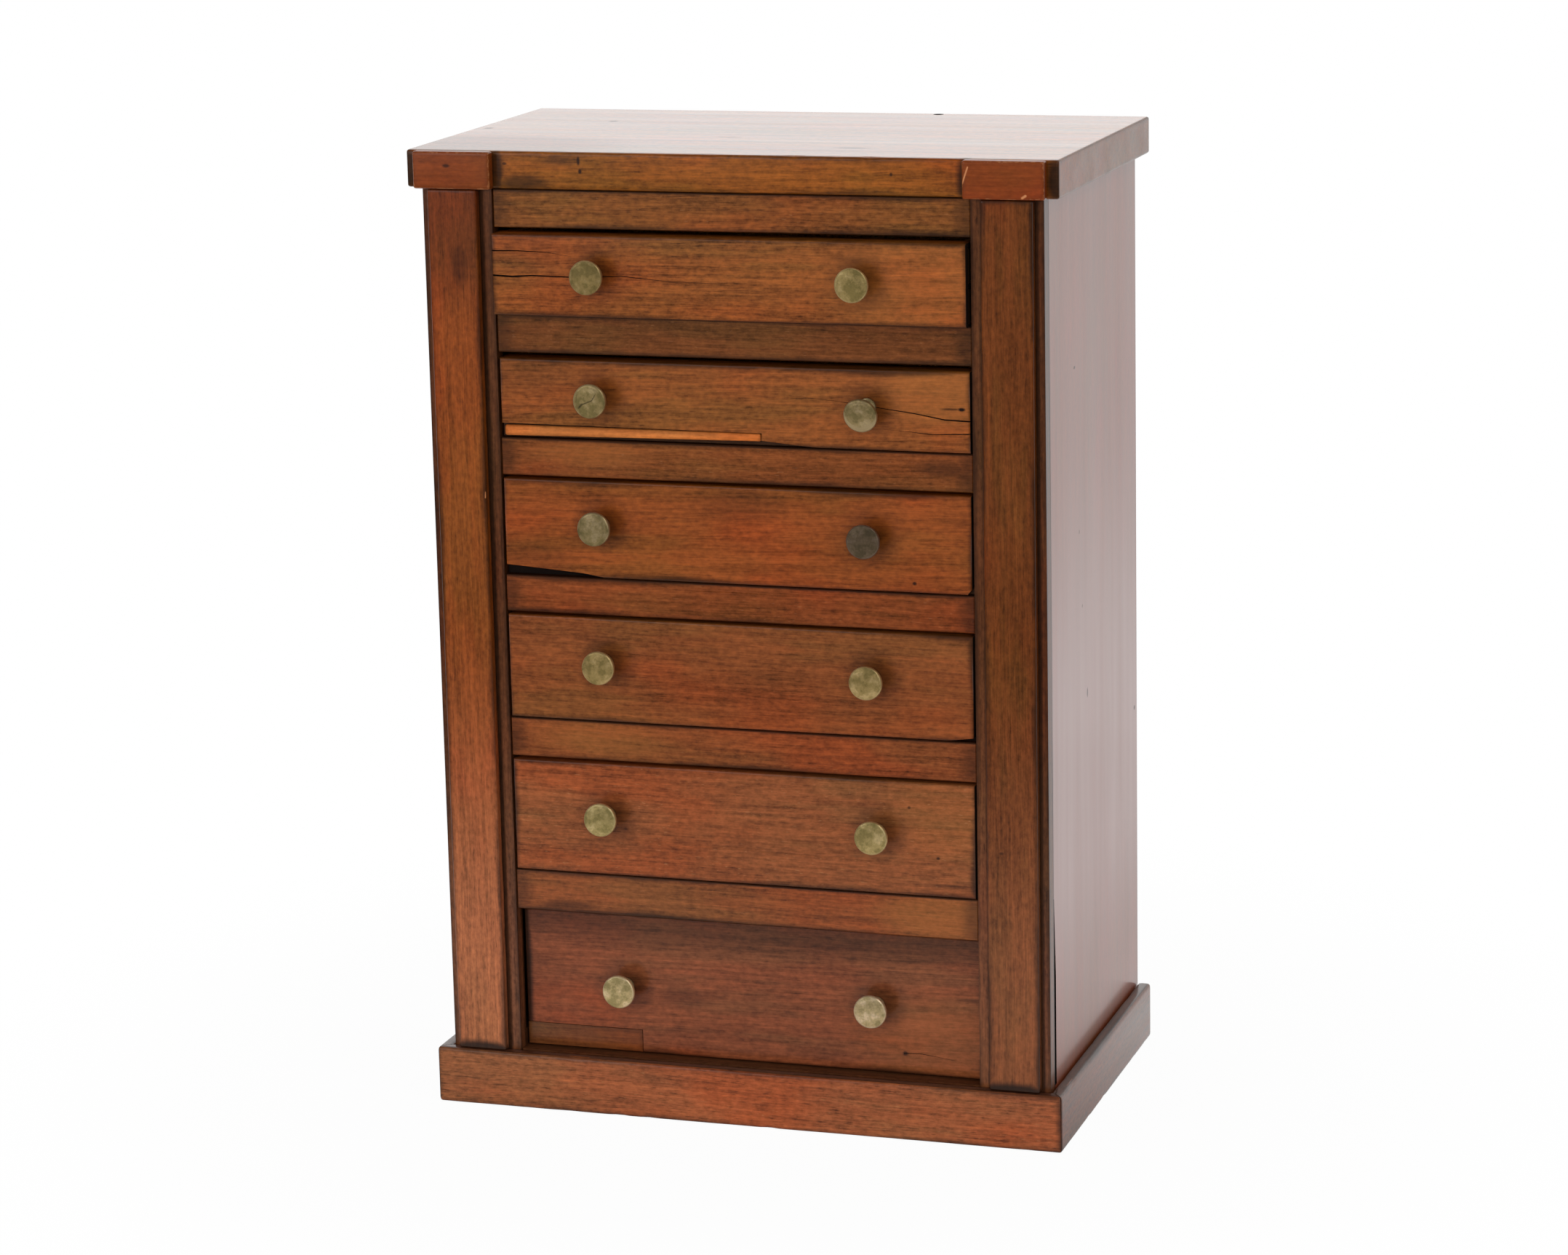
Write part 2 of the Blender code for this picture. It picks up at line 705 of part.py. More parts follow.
def make_chest():
    """Make the whole chest."""
    case = add_empty("case", (0, 0, 0))
    for label, side in (("left", -1), ("right", 1)):
        make_side(case, label, side)
        make_stile(case, label, side)
    make_top(case)
    make_back(case)
    make_plinth(case)
    make_rails(case)
    make_runners(case)
    make_bottom(case)
    profile = knob_mesh()
    for number, (drawer, floor) in enumerate(zip(DRAWERS, drawer_floors()), 1):
        make_drawer(number, drawer, floor, profile)


clear_scene()
parts = new_collection("tabletop_chest")
cutters = new_collection("cutters")
materials = make_materials()
make_chest()
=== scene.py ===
"""Looks of the tabletop chest of drawers: worn mahogany, aged brass knobs, soft studio light."""

import random
from math import cos, exp, pi, radians, sin, sqrt

import bmesh
import bpy
from mathutils import Matrix, Vector, noise


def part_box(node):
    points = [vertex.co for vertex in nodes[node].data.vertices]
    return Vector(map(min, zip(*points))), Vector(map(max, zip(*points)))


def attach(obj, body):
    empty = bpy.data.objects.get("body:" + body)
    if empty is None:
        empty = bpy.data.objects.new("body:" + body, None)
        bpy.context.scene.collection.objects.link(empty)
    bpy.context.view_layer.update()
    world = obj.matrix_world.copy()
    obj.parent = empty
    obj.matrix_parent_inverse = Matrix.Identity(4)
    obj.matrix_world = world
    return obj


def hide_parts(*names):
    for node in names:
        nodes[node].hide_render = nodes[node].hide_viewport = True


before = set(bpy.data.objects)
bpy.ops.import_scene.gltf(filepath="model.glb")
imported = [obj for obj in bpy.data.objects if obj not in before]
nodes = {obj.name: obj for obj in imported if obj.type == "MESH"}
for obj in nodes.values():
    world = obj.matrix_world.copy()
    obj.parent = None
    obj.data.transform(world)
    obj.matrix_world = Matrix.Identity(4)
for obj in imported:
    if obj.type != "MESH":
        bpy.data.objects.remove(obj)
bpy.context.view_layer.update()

MM = 0.001
QUARTER = pi / 2
SIDES = (("left", -1), ("right", 1))

# Camera, from the photograph's perspective
CAMERA_PLACE = Vector((0.6397, -1.9874, 0.6966))
CAMERA_AZIMUTH = radians(17.905)
CAMERA_ELEVATION = radians(12.771)
CAMERA_ROLL = radians(-1.215)
CAMERA_LENS = 102.4  # millimetres, on a sensor 36 mm wide

# Stage
FLOOR_RADIUS = 0.75
FLOOR_GAP = 0.0003
FLOOR_WHITE = 0.965  # share of plain white that the camera sees in the floor by the chest
MIDDLE = Vector((0, 0, 0.22))

# Lamps, as (place, size, radiance, whether polished surfaces show them)
LAMPS = {
    "front": ((-0.45, -2.25, 0.15), 2, 2.45, False),
    "key": ((-1.25, -1.95, 0.95), 1.5, 1.3, True),
    "fill": ((1.25, -1.95, 0.95), 1.5, 1.2, True),
    "rim": ((1.45, -0.85, 1.95), 0.6, 6, True),
    "rear": ((-0.9, 2.4, 1.35), 1.7, 0.35, True),
    "above": ((0, 0.35, 1.7), 1.2, 2, False),
}

# Worn boards
STATION_STEP = 0.005  # spacing of the sections along a board
SECTION_LIP = 0.0007  # flat beside a rounded edge
ARC_STEPS = 4
LEAST_ROUND = 0.00005
SHARP_ANGLE = radians(50)
DENT_SPACING = 0.035  # mean distance between dents along an edge
CUT_PAST = 0.0015  # how far a cutter stands out of the face that it opens

# Rounding of the edges, and how far they are worn back
EDGES = {
    "top": (0.0012, 0.00025),
    "pilaster": (0.0008, 0.00018),
    "cap": (0.001, 0.0002),
    "plinth": (0.0014, 0.00022),
    "strip": (0.0011, 0.0001),
    "patch": (0.0003, 0.00004),
}

# Turned knobs
KNOB_STEPS = 72
KNOB_DOME_STEPS = 24
KNOB_NECK_STEPS = 12
KNOB_ROSE_STEPS = 6
KNOB_EASE = 0.0001  # by which its sharp edges are eased
KNOB_SHARP = radians(60)
KNOB_RADIUS = 0.0079
KNOB_PROJECTION = 0.0125
KNOB_DOME = 0.0014
KNOB_RIM = 0.0016
KNOB_UNDERCUT = 0.004
KNOB_NECK_RADIUS = 0.0026
KNOB_ROSE_RADIUS = 0.0042
KNOB_ROSE_THICK = 0.0011
KNOB_SHANK_RADIUS = 0.0019
KNOB_SHANK_LENGTH = 0.008
KNOB_SEAT_GAP = 0.0003
KNOB_RING_RADIUS = 0.0066  # shallow ring turned near the rim
KNOB_RING_WIDTH = 0.0004
KNOB_RING_DEPTH = 0.00012
KNOB_BEND_LENGTH = 0.003  # of neck, over which a bent knob turns
KNOB_TONES = (  # of each drawer's left and right knob, from the top drawer down
    ((146, 124, 76), (160, 138, 86)),
    ((150, 130, 84), (150, 130, 88)),
    ((138, 120, 80), (98, 82, 62)),
    ((162, 138, 86), (164, 140, 88)),
    ((172, 152, 98), (174, 152, 98)),
    ((196, 174, 124), (190, 168, 124)),
)
KNOB_BENDS = {"drawer_2_knob_right": (0.23, 0.03)}
KNOB_CRACKS = {
    "drawer_2_knob_left": [
        (-0.0056, -0.0034, -0.0034, -0.0012, 0.0007),
        (-0.0034, -0.0012, 0.0016, 0.0008, 0.0004),
        (0.0016, 0.0008, 0.004, 0.0048, 0.0004),
    ],
}

# Damage, no deeper than the wood in front of the drawers' joints
CRACK_DEPTH = 0.0012
CHIP_DEPTH = 0.0034
SIDE_GAP = 0.003  # widest part of the gap beside the right stile
SIDE_GAP_DEPTH = 0.006
MITRE_GAP = 0.00018  # on each side of a mitre
DENT_PLACE = 0.052  # along the top's rear edge
DENT_RADIUS = 0.003
DENT_DEPTH = 0.0007
DENT_INSET = 0.0016
PILASTER_SHADOW_WIDTH = 0.0022  # width of the painted shadow of a pilaster on its stile
FOOT_DIRT = 0.008  # height of the dirt at a stile's foot
RAIL_SHADOW_LINE = 0.0013  # painted shadow line along a rail's upper edge
RAIL_END = 0.115  # where a rail meets the stile, and is soiled
RAIL_SOIL = (0.012, 0.02, 0.5)  # half width, half height and strength of that dirt

# Dirt from hands, and painted shade of the knobs, round each knob
HAND_REACH = 0.018
HAND_DIRT_AND_SHADE = 0.35

# Repairs
STRIP_END = 0.0136  # right end of the second drawer's strip
STRIP_TOP = 0.006  # above the drawer's lower edge
STRIP_DEPTH = 0.0034
STRIP_TAPER = 0.0014
STRIP_INSET = 0.0016  # of its left end
STRIP_SLOPE = 0.0007
PATCH_LENGTH = 0.0585
PATCH_HEIGHT = 0.0112
PATCH_DEPTH = 0.0026
REPAIR_SINK = 0.0001  # how far a repair lies behind the drawer's face
REPAIR_GAP = 0.0003  # between a repair and the wood beside it

# Layers of the grain: cycles per metre along and across it, step of the seed, detail, roughness
LAYERS = {
    "wave": (5, 26, 0, 2, 0.5),
    "hue": (9, 24, 6, 3, 0.55),
    "figure": (6, 120, 0, 3, 0.6),
    "streak": (18, 640, 1, 3, 0.65),
    "fibre": (100, 1500, 2, 2, 0.6),
    "mottle": (300, 520, 7, 3, 0.65),
    "pores": (150, 2300, 3, 1, 0.5),
    "cloud": (12, 30, 4, 4, 0.6),
    "band": (2, 60, 8, 3, 0.6),
    "flecks": (300, 1700, 5, 1, 0.5),
}
GRAIN_SWAY = 0.006  # how far the grain wanders
LEAST_LIGHT = 0.2  # of the darkest grain
RELIEF_DEPTH = 0.0001
COAT_ROUGHNESS = 0.16
DIRT_AND_SHADE_REACH = (-0.0008, 0.0026)  # from an edge, where the dirt and painted shade are full and where they end
DIRT_AND_SHADE_SWAY = 0.008
WEAR_AND_HIGHLIGHT_REACH = 0.0007
WEAR_AND_HIGHLIGHT_SWAY = 0.004
MARK_CORE = 0.35  # share of a mark that has its full strength
FOOT_FADE = (0.06, 0.25)  # heights between which the painted light from the floor fades
PAINTED_SHEEN_UPPER = (0.34, 0.19)  # heights between which the painted sheen on a side sets in
# heights between which the painted sheen rises from a side's foot
PAINTED_SHEEN_LOWER = (0.05, 0.13)

# Slant of the grain on each drawer front, from the top one down
FRONT_LEAN = (0.012, 0.03, 0.022, -0.01, 0.008, 0.016)


def colour(red, green, blue):
    """Give a linear colour from the 0 to 255 values that it shows on a screen."""
    linear = []
    for value in (red, green, blue):
        share = value / 255
        linear.append(share / 12.92 if share <= 0.04045 else ((share + 0.055) / 1.055) ** 2.4)
    return (*linear, 1)


class Graph:
    """The nodes of one material, with a short word for each kind that is used."""

    def __init__(self, tree):
        self.tree = tree
        self.tree.nodes.clear()

    def put(self, socket, value):
        """Link a socket to another one, or write a plain value into it."""
        if isinstance(value, bpy.types.NodeSocket):
            self.tree.links.new(value, socket)
        else:
            socket.default_value = value

    def node(self, kind, inputs, **settings):
        """Add a node with its settings and inputs."""
        node = self.tree.nodes.new(kind)
        for key, value in settings.items():
            setattr(node, key, value)
        for key, value in inputs.items():
            self.put(node.inputs[key], value)
        return node

    def place(self):
        """Give coordinates that stay with the piece, in metres."""
        return self.node("ShaderNodeTexCoord", {}).outputs["Object"]

    def math(self, operation, first, second=0):
        return self.node("ShaderNodeMath", {0: first, 1: second}, operation=operation).outputs[0]

    def times(self, first, second):
        return self.math("MULTIPLY", first, second)

    def most(self, first, second):
        return self.math("MAXIMUM", first, second)

    def vector(self, operation, first, second=(0, 0, 0)):
        node = self.node("ShaderNodeVectorMath", {0: first, 1: second}, operation=operation)
        return node.outputs["Value" if operation in ("DISTANCE", "LENGTH", "DOT_PRODUCT") else "Vector"]

    def scale(self, vector, factor):
        node = self.node("ShaderNodeVectorMath", {0: vector, "Scale": factor}, operation="SCALE")
        return node.outputs["Vector"]

    def parts(self, vector):
        return self.node("ShaderNodeSeparateXYZ", {0: vector}).outputs

    def noise(self, coords, detail=2, roughness=0.5, output="Fac"):
        inputs = {"Vector": coords, "Scale": 1, "Detail": detail, "Roughness": roughness}
        return self.node("ShaderNodeTexNoise", inputs).outputs[output]

    def mapped(self, coords, scale=(1, 1, 1), shift=(0, 0, 0), turn=(0, 0, 0)):
        inputs = {"Vector": coords, "Location": shift, "Rotation": turn, "Scale": scale}
        return self.node("ShaderNodeMapping", inputs).outputs[0]

    def spread(self, value, low, high, to_low=0, to_high=1):
        """Carry a value smoothly from one range into another, without passing its ends."""
        inputs = {"Value": value, "From Min": low, "From Max": high, "To Min": to_low, "To Max": to_high}
        return self.node("ShaderNodeMapRange", inputs, interpolation_type="SMOOTHSTEP").outputs[0]

    def swing(self, value, amount):
        """Give a noise's swing about its middle, times an amount."""
        return self.times(self.math("SUBTRACT", value, 0.5), amount)

    def total(self, *values):
        result = values[0]
        for value in values[1:]:
            result = self.math("ADD", result, value)
        return result

    def mix(self, factor, first, second):
        node = self.node("ShaderNodeMix", {0: factor, 6: first, 7: second}, data_type="RGBA")
        return node.outputs[2]

    def blend(self, factor, first, second):
        node = self.node("ShaderNodeMix", {0: factor, 2: first, 3: second}, data_type="FLOAT")
        return node.outputs[0]

    def bump(self, strength, height):
        inputs = {"Strength": strength, "Distance": RELIEF_DEPTH, "Height": height}
        return self.node("ShaderNodeBump", inputs).outputs[0]

    def rays(self):
        """Give the kinds of ray, and a mask of those that show the scene to the camera."""
        path = self.node("ShaderNodeLightPath", {}).outputs
        return path, self.most(path["Is Camera Ray"], path["Is Transmission Ray"])

    def finish(self, shader):
        """Send a shader to the output."""
        output = self.node("ShaderNodeOutputMaterial", {})
        self.put(output.inputs["Surface"], shader.outputs[0])


def new_material(name):
    """Make a material and the graph of its nodes."""
    material = bpy.data.materials.new(name)
    material.use_nodes = True
    return material, Graph(material.node_tree)


def tones(red, green, blue):
    """Give a wood's main tone, a redder one and a yellower one."""
    main = colour(red, green, blue)
    redder = colour(red * 1.06, green * 0.95, blue * 0.86)
    yellower = colour(red * 0.97, green * 1.05, blue * 1.06)
    return main, redder, yellower


# Wood tones, from the photograph
FRONT_TONES = [tones(*tone) for tone in (
    (128, 70, 25), (126, 68, 25), (129, 64, 20), (123, 65, 28), (130, 72, 38), (122, 64, 37),
)]
FRONT_GRAIN = (1.4, 1.3, 1.1, 1.2, 1.3, 1.2)
FRONT_FLECKS = (0.1, 0.1, 0, 0.1, 0.4, 0)
RAIL_TONES = [tones(*tone) for tone in (
    (100, 54, 20), (114, 59, 21), (119, 58, 21), (124, 64, 28), (127, 68, 33),
)]
TOP_RAIL_TONE = tones(115, 65, 22)
PILASTER_TONES = {"left": tones(123, 59, 16), "right": tones(99, 49, 13)}
# the stiles' darker tones are partly painted shade of the pilasters beside them
STILE_TONES = {"left": tones(84, 46, 22), "right": tones(92, 50, 22)}
# painted sheen on each side, least and most: the grazing reflection of the white room painted into the
# colour
SIDE_PAINTED_SHEEN = {"left": (0.05, 0.26), "right": (0.05, 0.74)}
SIDE_LOOK = dict(dirt=0.3, grain=0.4, relief=0.06, bands=0.2, pitch=26, coat=0.59, polish=0.19)
TOP_UPPER_LOOK = dict(dirt=0.2, bands=0.24, grain=2.4, coat=0.62, polish=0.45)
LEDGE_LOOK = dict(dirt=0.9, grain=1.3, coat=0.5, polish=0.12)
# how strong the painted light from the floor is on each pilaster's foot
PILASTER_FOOT = {"left": 0.39, "right": 0.16}
BLOCK_TONE = tones(119, 53, 12)
TOP_TONE = tones(128, 69, 14)
PLINTH_TONE = tones(147, 81, 46)
PLINTH_SIDE_TONE = tones(122, 69, 42)
SIDE_TONE = tones(144, 68, 30)
DARK_TONE = tones(82, 48, 28)
LINING_TONE = tones(170, 118, 74)
BACK_TONE = tones(152, 100, 62)
STRIP_TONE = tones(188, 112, 56)
PATCH_TONE = tones(110, 62, 31)
# the plinth's ledge tone is dark with dirt and with painted shade
LEDGE_TONE = tones(78, 48, 34)
# dark colour of dirt, and of painted shade in gaps, recesses and under parts
DIRT_AND_SHADE = colour(30, 18, 11)
FLECK = colour(176, 122, 76)
# pale bare wood of scratches and worn edges, also a painted highlight on those edges
BARE_AND_HIGHLIGHT = colour(190, 124, 78)
PALE_WOOD = colour(194, 122, 54)
# colour of the painted sheen on the sides
PAINTED_SHEEN = colour(196, 156, 150)
# colour of the painted light from the floor on the feet
PAINTED_FLOOR_LIGHT = colour(198, 126, 88)

# Pale scratches on the face of a piece, as (x, z, end x, end z, half width)
SCRATCHES = {
    "cap_block_right": [
        (0.1151, 0.4569, 0.1123, 0.4488, 0.0005),
        (0.14, 0.4436, 0.1415, 0.4446, 0.0008),
    ],
    "pilaster_left": [(-0.1202, 0.3008, -0.1204, 0.2982, 0.0005)],
}

# Dark marks on a piece, some dirt and some painted shade, as (middle, half size, strength)
MARKS = {
    "side_right": [
        ((0.1482, -0.0255, 0.3583), (0.006, 0.0022, 0.001), 0.8),
        ((0.1482, -0.0041, 0.2002), (0.006, 0.0016, 0.0032), 0.7),
        ((0.1482, 0.0913, 0.17), (0.006, 0.002, 0.0016), 0.8),
        ((0.1482, -0.018, 0.28), (0.006, 0.0012, 0.0014), 0.5),
        ((0.1482, -0.013, 0.2438), (0.006, 0.0012, 0.0012), 0.5),
    ],
    "top_board": [
        ((-0.1483, 0.0077, 0.46), (0.003, 0.004, 0.004), 0.8),
        ((-0.0976, 0.0434, 0.46), (0.003, 0.004, 0.004), 0.7),
        ((0.0504, -0.0474, 0.46), (0.012, 0.003, 0.004), 0.6),
        ((-0.0206, -0.0131, 0.46), (0.009, 0.002, 0.004), 0.5),
        # painted shade, partly dirt: the top's front left darker, where its reflection is weaker
        ((-0.125, -0.06, 0.46), (0.09, 0.05, 0.004), 0.3),
    ],
    "drawer_1_box": [
        # painted shade, partly dirt: the proud first drawer's joints darker at the front
        ((-0.1133, -0.078, 0.403), (0.004, 0.013, 0.1), 0.95),
        ((0.1133, -0.078, 0.403), (0.004, 0.013, 0.1), 0.95),
    ],
}

# Paler places on the front of a piece, as (x, z, half width, half height, strength)
PALER = {
    "drawer_1_front": [(0.09, 0.403, 0.05, 0.04, 0.12)],
    "drawer_2_front": [(0.1, 0.354, 0.04, 0.025, 0.2)],
    "drawer_5_front": [(0.1, 0.158, 0.042, 0.028, 0.12)],
    "drawer_6_front": [(0.095, 0.045, 0.06, 0.03, 0.12)],
    "drawer_rail_2": [(-0.07, 0.319, 0.04, 0.009, 0.16)],
    "drawer_rail_4": [(-0.07, 0.184, 0.045, 0.012, 0.14)],
    "drawer_rail_5": [(0.095, 0.108, 0.04, 0.016, 0.2)],
}

# Dark spots on the front of a piece, some dirt and some painted shade, as (x, z, half width, half
# height, strength)
SPOT_DEPTH = 0.006
SPOTS = {
    "drawer_1_front": [
        (-0.102, 0.42, 0.013, 0.0006, 0.45),
        (-0.098, 0.413, 0.03, 0.012, 0.22),
        (-0.1075, 0.4092, 0.0016, 0.0009, 0.55),
    ],
    "drawer_2_front": [
        (0.1092, 0.3466, 0.0024, 0.0012, 1),
        (-0.098, 0.357, 0.03, 0.012, 0.22),
        (0.104, 0.3466, 0.006, 0.0007, 0.7),
    ],
    "drawer_3_front": [
        (0.086, 0.2655, 0.0014, 0.0012, 0.9),
        (0.002, 0.299, 0.03, 0.011, 0.28),
        (-0.1, 0.269, 0.025, 0.01, 0.22),
    ],
    "drawer_5_front": [
        (0.0954, 0.1361, 0.0012, 0.001, 0.8),
        (0.0994, 0.1231, 0.016, 0.0014, 0.4),
        (0.0818, 0.1596, 0.0011, 0.001, 0.7),
    ],
    "drawer_6_front": [
        (0.076, 0.0379, 0.0019, 0.0017, 0.8),
        # painted shadow of the rail above, across the top of the recessed drawer, and painted shade down
        # its left edge
        (0, 0.0959, 0.4, 0.02, 0.5),
        (-0.1133, 0.062, 0.0046, 0.1, 0.9),
        (-0.033, 0.057, 0.018, 0.008, 0.3),
        (0.079, 0.083, 0.01, 0.0012, 0.5),
        (0.11, 0.066, 0.012, 0.0014, 0.45),
    ],
    "drawer_rail_2": [(0.1, 0.319, 0.018, 0.005, 0.45)],
    "drawer_rail_5": [(-0.088, 0.1006, 0.019, 0.0036, 0.6)],
    "top_board": [
        (-0.0707, 0.456, 0.0012, 0.003, 0.9),
        (-0.07, 0.4512, 0.0012, 0.0016, 0.9),
        (-0.107, 0.4542, 0.0018, 0.001, 0.8),
        (0.0781, 0.4524, 0.001, 0.0012, 0.8),
        # the spots at the cap blocks' ends, here and in the last three lines, are painted shade, partly
        # dirt, on the top's front edge
        (-0.111, 0.451, 0.005, 0.016, 0.85),
        (-0.098, 0.4455, 0.018, 0.0055, 0.7),
        (-0.08, 0.456, 0.014, 0.003, 0.5),
        (0.112, 0.451, 0.005, 0.016, 0.85),
        (-0.154, 0.451, 0.006, 0.016, 0.9),
        (0.154, 0.451, 0.006, 0.016, 0.9),
    ],
    "cap_block_left": [(-0.1334, 0.4534, 0.0026, 0.0012, 0.8)],
    "pilaster_left": [
        (-0.129, 0.408, 0.007, 0.017, 0.65),
        (-0.132, 0.442, 0.04, 0.07, 0.45),
        (-0.1321, 0.028, 0.03, 0.0056, 0.95),
    ],
    "pilaster_right": [
        (0.127, 0.142, 0.0016, 0.0009, 0.6),
        (0.1321, 0.028, 0.03, 0.0056, 0.95),
    ],
}


def edge_distance(graph, coords, box):
    """Give the distance from a point on a board to the nearest of the board's edges."""
    low, high = box
    off_centre = graph.vector("ABSOLUTE", graph.vector("SUBTRACT", coords, (low + high) / 2))
    inside = graph.parts(graph.vector("SUBTRACT", (high - low) / 2, off_centre))
    lesser = graph.math("MINIMUM", inside[0], inside[1])
    greater = graph.most(inside[0], inside[1])
    return graph.most(lesser, graph.math("MINIMUM", greater, inside[2]))


def on_front(face_y, spots):
    """Give the marks that are spots on a front face."""
    marks = []
    for x, z, half_width, half_height, strength in spots:
        marks.append(((x, face_y, z), (half_width, SPOT_DEPTH, half_height), strength))
    return marks


def mark_mask(graph, coords, marks):
    """Give a mask of the soft oval marks on a piece."""
    mask = 0
    for middle, half, strength in marks:
        off_centre = graph.vector("SUBTRACT", coords, middle)
        away = graph.vector("DIVIDE", off_centre, half)
        oval = graph.spread(graph.vector("LENGTH", away), MARK_CORE, 1, strength, 0)
        mask = graph.most(mask, oval)
    return mask


def scratch_mask(graph, coords, face_y, scratches):
    """Give a mask of the fine scratches on a face."""
    mask = 0
    for x0, z0, x1, z1, width in scratches:
        start = Vector((x0, face_y, z0))
        run = Vector((x1, face_y, z1)) - start
        from_start = graph.vector("SUBTRACT", coords, start)
        along = graph.math("DIVIDE", graph.vector("DOT_PRODUCT", from_start, run), run.length_squared)
        along = graph.math("MINIMUM", graph.most(along, 0), 1)
        nearest = graph.scale(run, along)
        away = graph.vector("DISTANCE", from_start, nearest)
        mask = graph.most(mask, graph.spread(away, width * 0.3, width, 1, 0))
    return mask


def wood(
    name, axis, seed, tone, box, dirt=0.6, gloss=0.34, lean=0, coat=0.5, polish=0.05, grain=1,
    bands=0.25, pitch=60, relief=0.3, porous=0.17, flecks=0, haze=(), worn=0, foot=0,
    marks=(), paler=(), scratches=(),
):
    """Old polished wood: long grain along an axis, pores, uneven colour, and dirt with painted shade
    near the edges; on some pieces also a painted sheen, painted light from the floor at the foot, and
    pale edges that are partly wear and partly painted highlight.
    """
    material, graph = new_material(name)
    rest = graph.place()

    def layer(kind, coords, own_pitch=0, output="Fac"):
        """Give one layer of the grain, with its own pitch across it if there is one."""
        along, across, step, detail, rough = LAYERS[kind]
        scale = [own_pitch or across] * 3
        scale["xyz".index(axis)] = along
        moved = seed + step
        squeezed = graph.mapped(coords, scale, (moved * 7.31, moved * 3.17, moved * 5.83))
        return graph.noise(squeezed, detail, rough, output)

    leaning = graph.mapped(rest, turn=(0, lean, 0))
    wave = layer("wave", leaning, output="Color")
    bent = graph.vector("ADD", leaning, graph.scale(wave, GRAIN_SWAY))

    hue = layer("hue", rest)
    figure = layer("figure", bent)
    streak = layer("streak", bent)
    fibre = layer("fibre", bent)
    mottle = layer("mottle", rest)
    pores = layer("pores", bent)
    cloud = layer("cloud", rest)
    band = layer("band", rest, pitch)

    main, red, yellow = tone
    base = graph.mix(graph.spread(hue, 0.5, 0.66), main, red)
    base = graph.mix(graph.spread(graph.total(hue, graph.swing(figure, 0.5)), 0.5, 0.34), base, yellow)
    light = graph.total(
        1.04,
        graph.swing(figure, 0.7 * grain),
        graph.swing(streak, 1.1 * grain),
        graph.swing(fibre, 0.8 * grain),
        graph.swing(mottle, 1.15 * grain),
        graph.swing(cloud, -0.45),
    )
    pore = graph.spread(pores, 0.6, 0.7)
    light = graph.math("SUBTRACT", light, graph.times(pore, porous * grain))
    light = graph.most(light, LEAST_LIGHT)
    base = graph.scale(base, light)
    if paler:
        base = graph.mix(mark_mask(graph, rest, paler), base, PALE_WOOD)
    height = graph.parts(rest)[2]
    # painted light: the foot paler, as if lit by the floor
    if foot:
        floor_lit_foot = graph.scale(PAINTED_FLOOR_LIGHT[:3], light)
        base = graph.mix(graph.spread(height, *FOOT_FADE, foot, 0), base, floor_lit_foot)
    # painted sheen: the sides' grazing reflection of the room, painted into their colour in vertical
    # bands
    if haze:
        least, most = haze
        from_above = graph.spread(height, *PAINTED_SHEEN_UPPER)
        from_below = graph.spread(height, *PAINTED_SHEEN_LOWER)
        sheen_share = graph.blend(graph.times(from_above, from_below), least, most)
        sheen_share = graph.times(sheen_share, graph.spread(band, 0.3, 0.7, 0.75, 1.25))
        base = graph.mix(sheen_share, base, PAINTED_SHEEN)
    if flecks:
        chance = layer("flecks", bent)
        base = graph.mix(graph.spread(chance, 0.68, 0.76, 0, flecks), base, FLECK)

    # darker near every edge: partly dirt, partly painted shade in the crevices between boards
    to_edge = edge_distance(graph, rest, box)
    edge = graph.total(to_edge, graph.swing(cloud, DIRT_AND_SHADE_SWAY))
    dirt_and_shade_share = graph.times(graph.spread(edge, *DIRT_AND_SHADE_REACH, 1, 0), dirt)
    marked = mark_mask(graph, rest, marks)
    if marks:
        dirt_and_shade_share = graph.most(dirt_and_shade_share, marked)
    base = graph.mix(dirt_and_shade_share, base, DIRT_AND_SHADE)
    bare_and_highlight = scratch_mask(graph, rest, box[0].y, scratches)
    # pale edges: partly wear, partly painted highlight along the rounded edges
    if worn:
        ragged = graph.total(to_edge, graph.swing(mottle, WEAR_AND_HIGHLIGHT_SWAY))
        bare_and_highlight = graph.most(bare_and_highlight, graph.spread(ragged, 0, WEAR_AND_HIGHLIGHT_REACH, worn, 0))
    if worn or scratches:
        base = graph.mix(bare_and_highlight, base, BARE_AND_HIGHLIGHT)

    roughness = graph.total(gloss, graph.swing(band, -bands), graph.swing(streak, 0.5 * relief))
    if marks:
        roughness = graph.total(roughness, graph.times(marked, 0.3))
    surface = graph.total(
        graph.times(streak, 0.7),
        graph.times(fibre, 0.4),
        graph.times(pore, -0.6),
    )
    inputs = {"Base Color": base, "Roughness": roughness, "Normal": graph.bump(relief, surface)}
    inputs.update({"Specular IOR Level": polish, "Coat Weight": coat, "Coat Roughness": COAT_ROUGHNESS})
    graph.finish(graph.node("ShaderNodeBsdfPrincipled", inputs))
    return material


def dark_wood(name, tone, seed):
    """Dark raw wood for cracks, broken edges and the drawers' ends; its darkness is partly dirt and
    partly painted shade.
    """
    material, graph = new_material(name)
    ragged = graph.noise(graph.mapped(graph.place(), (300, 900, 1500), (seed, seed, seed)), 3, 0.7)
    base = graph.scale(tone[:3], graph.total(1, graph.swing(ragged, 1.6)))
    inputs = {"Base Color": base, "Roughness": graph.total(0.85, graph.swing(ragged, 0.3))}
    inputs["Specular IOR Level"] = 0.1
    graph.finish(graph.node("ShaderNodeBsdfPrincipled", inputs))
    return material


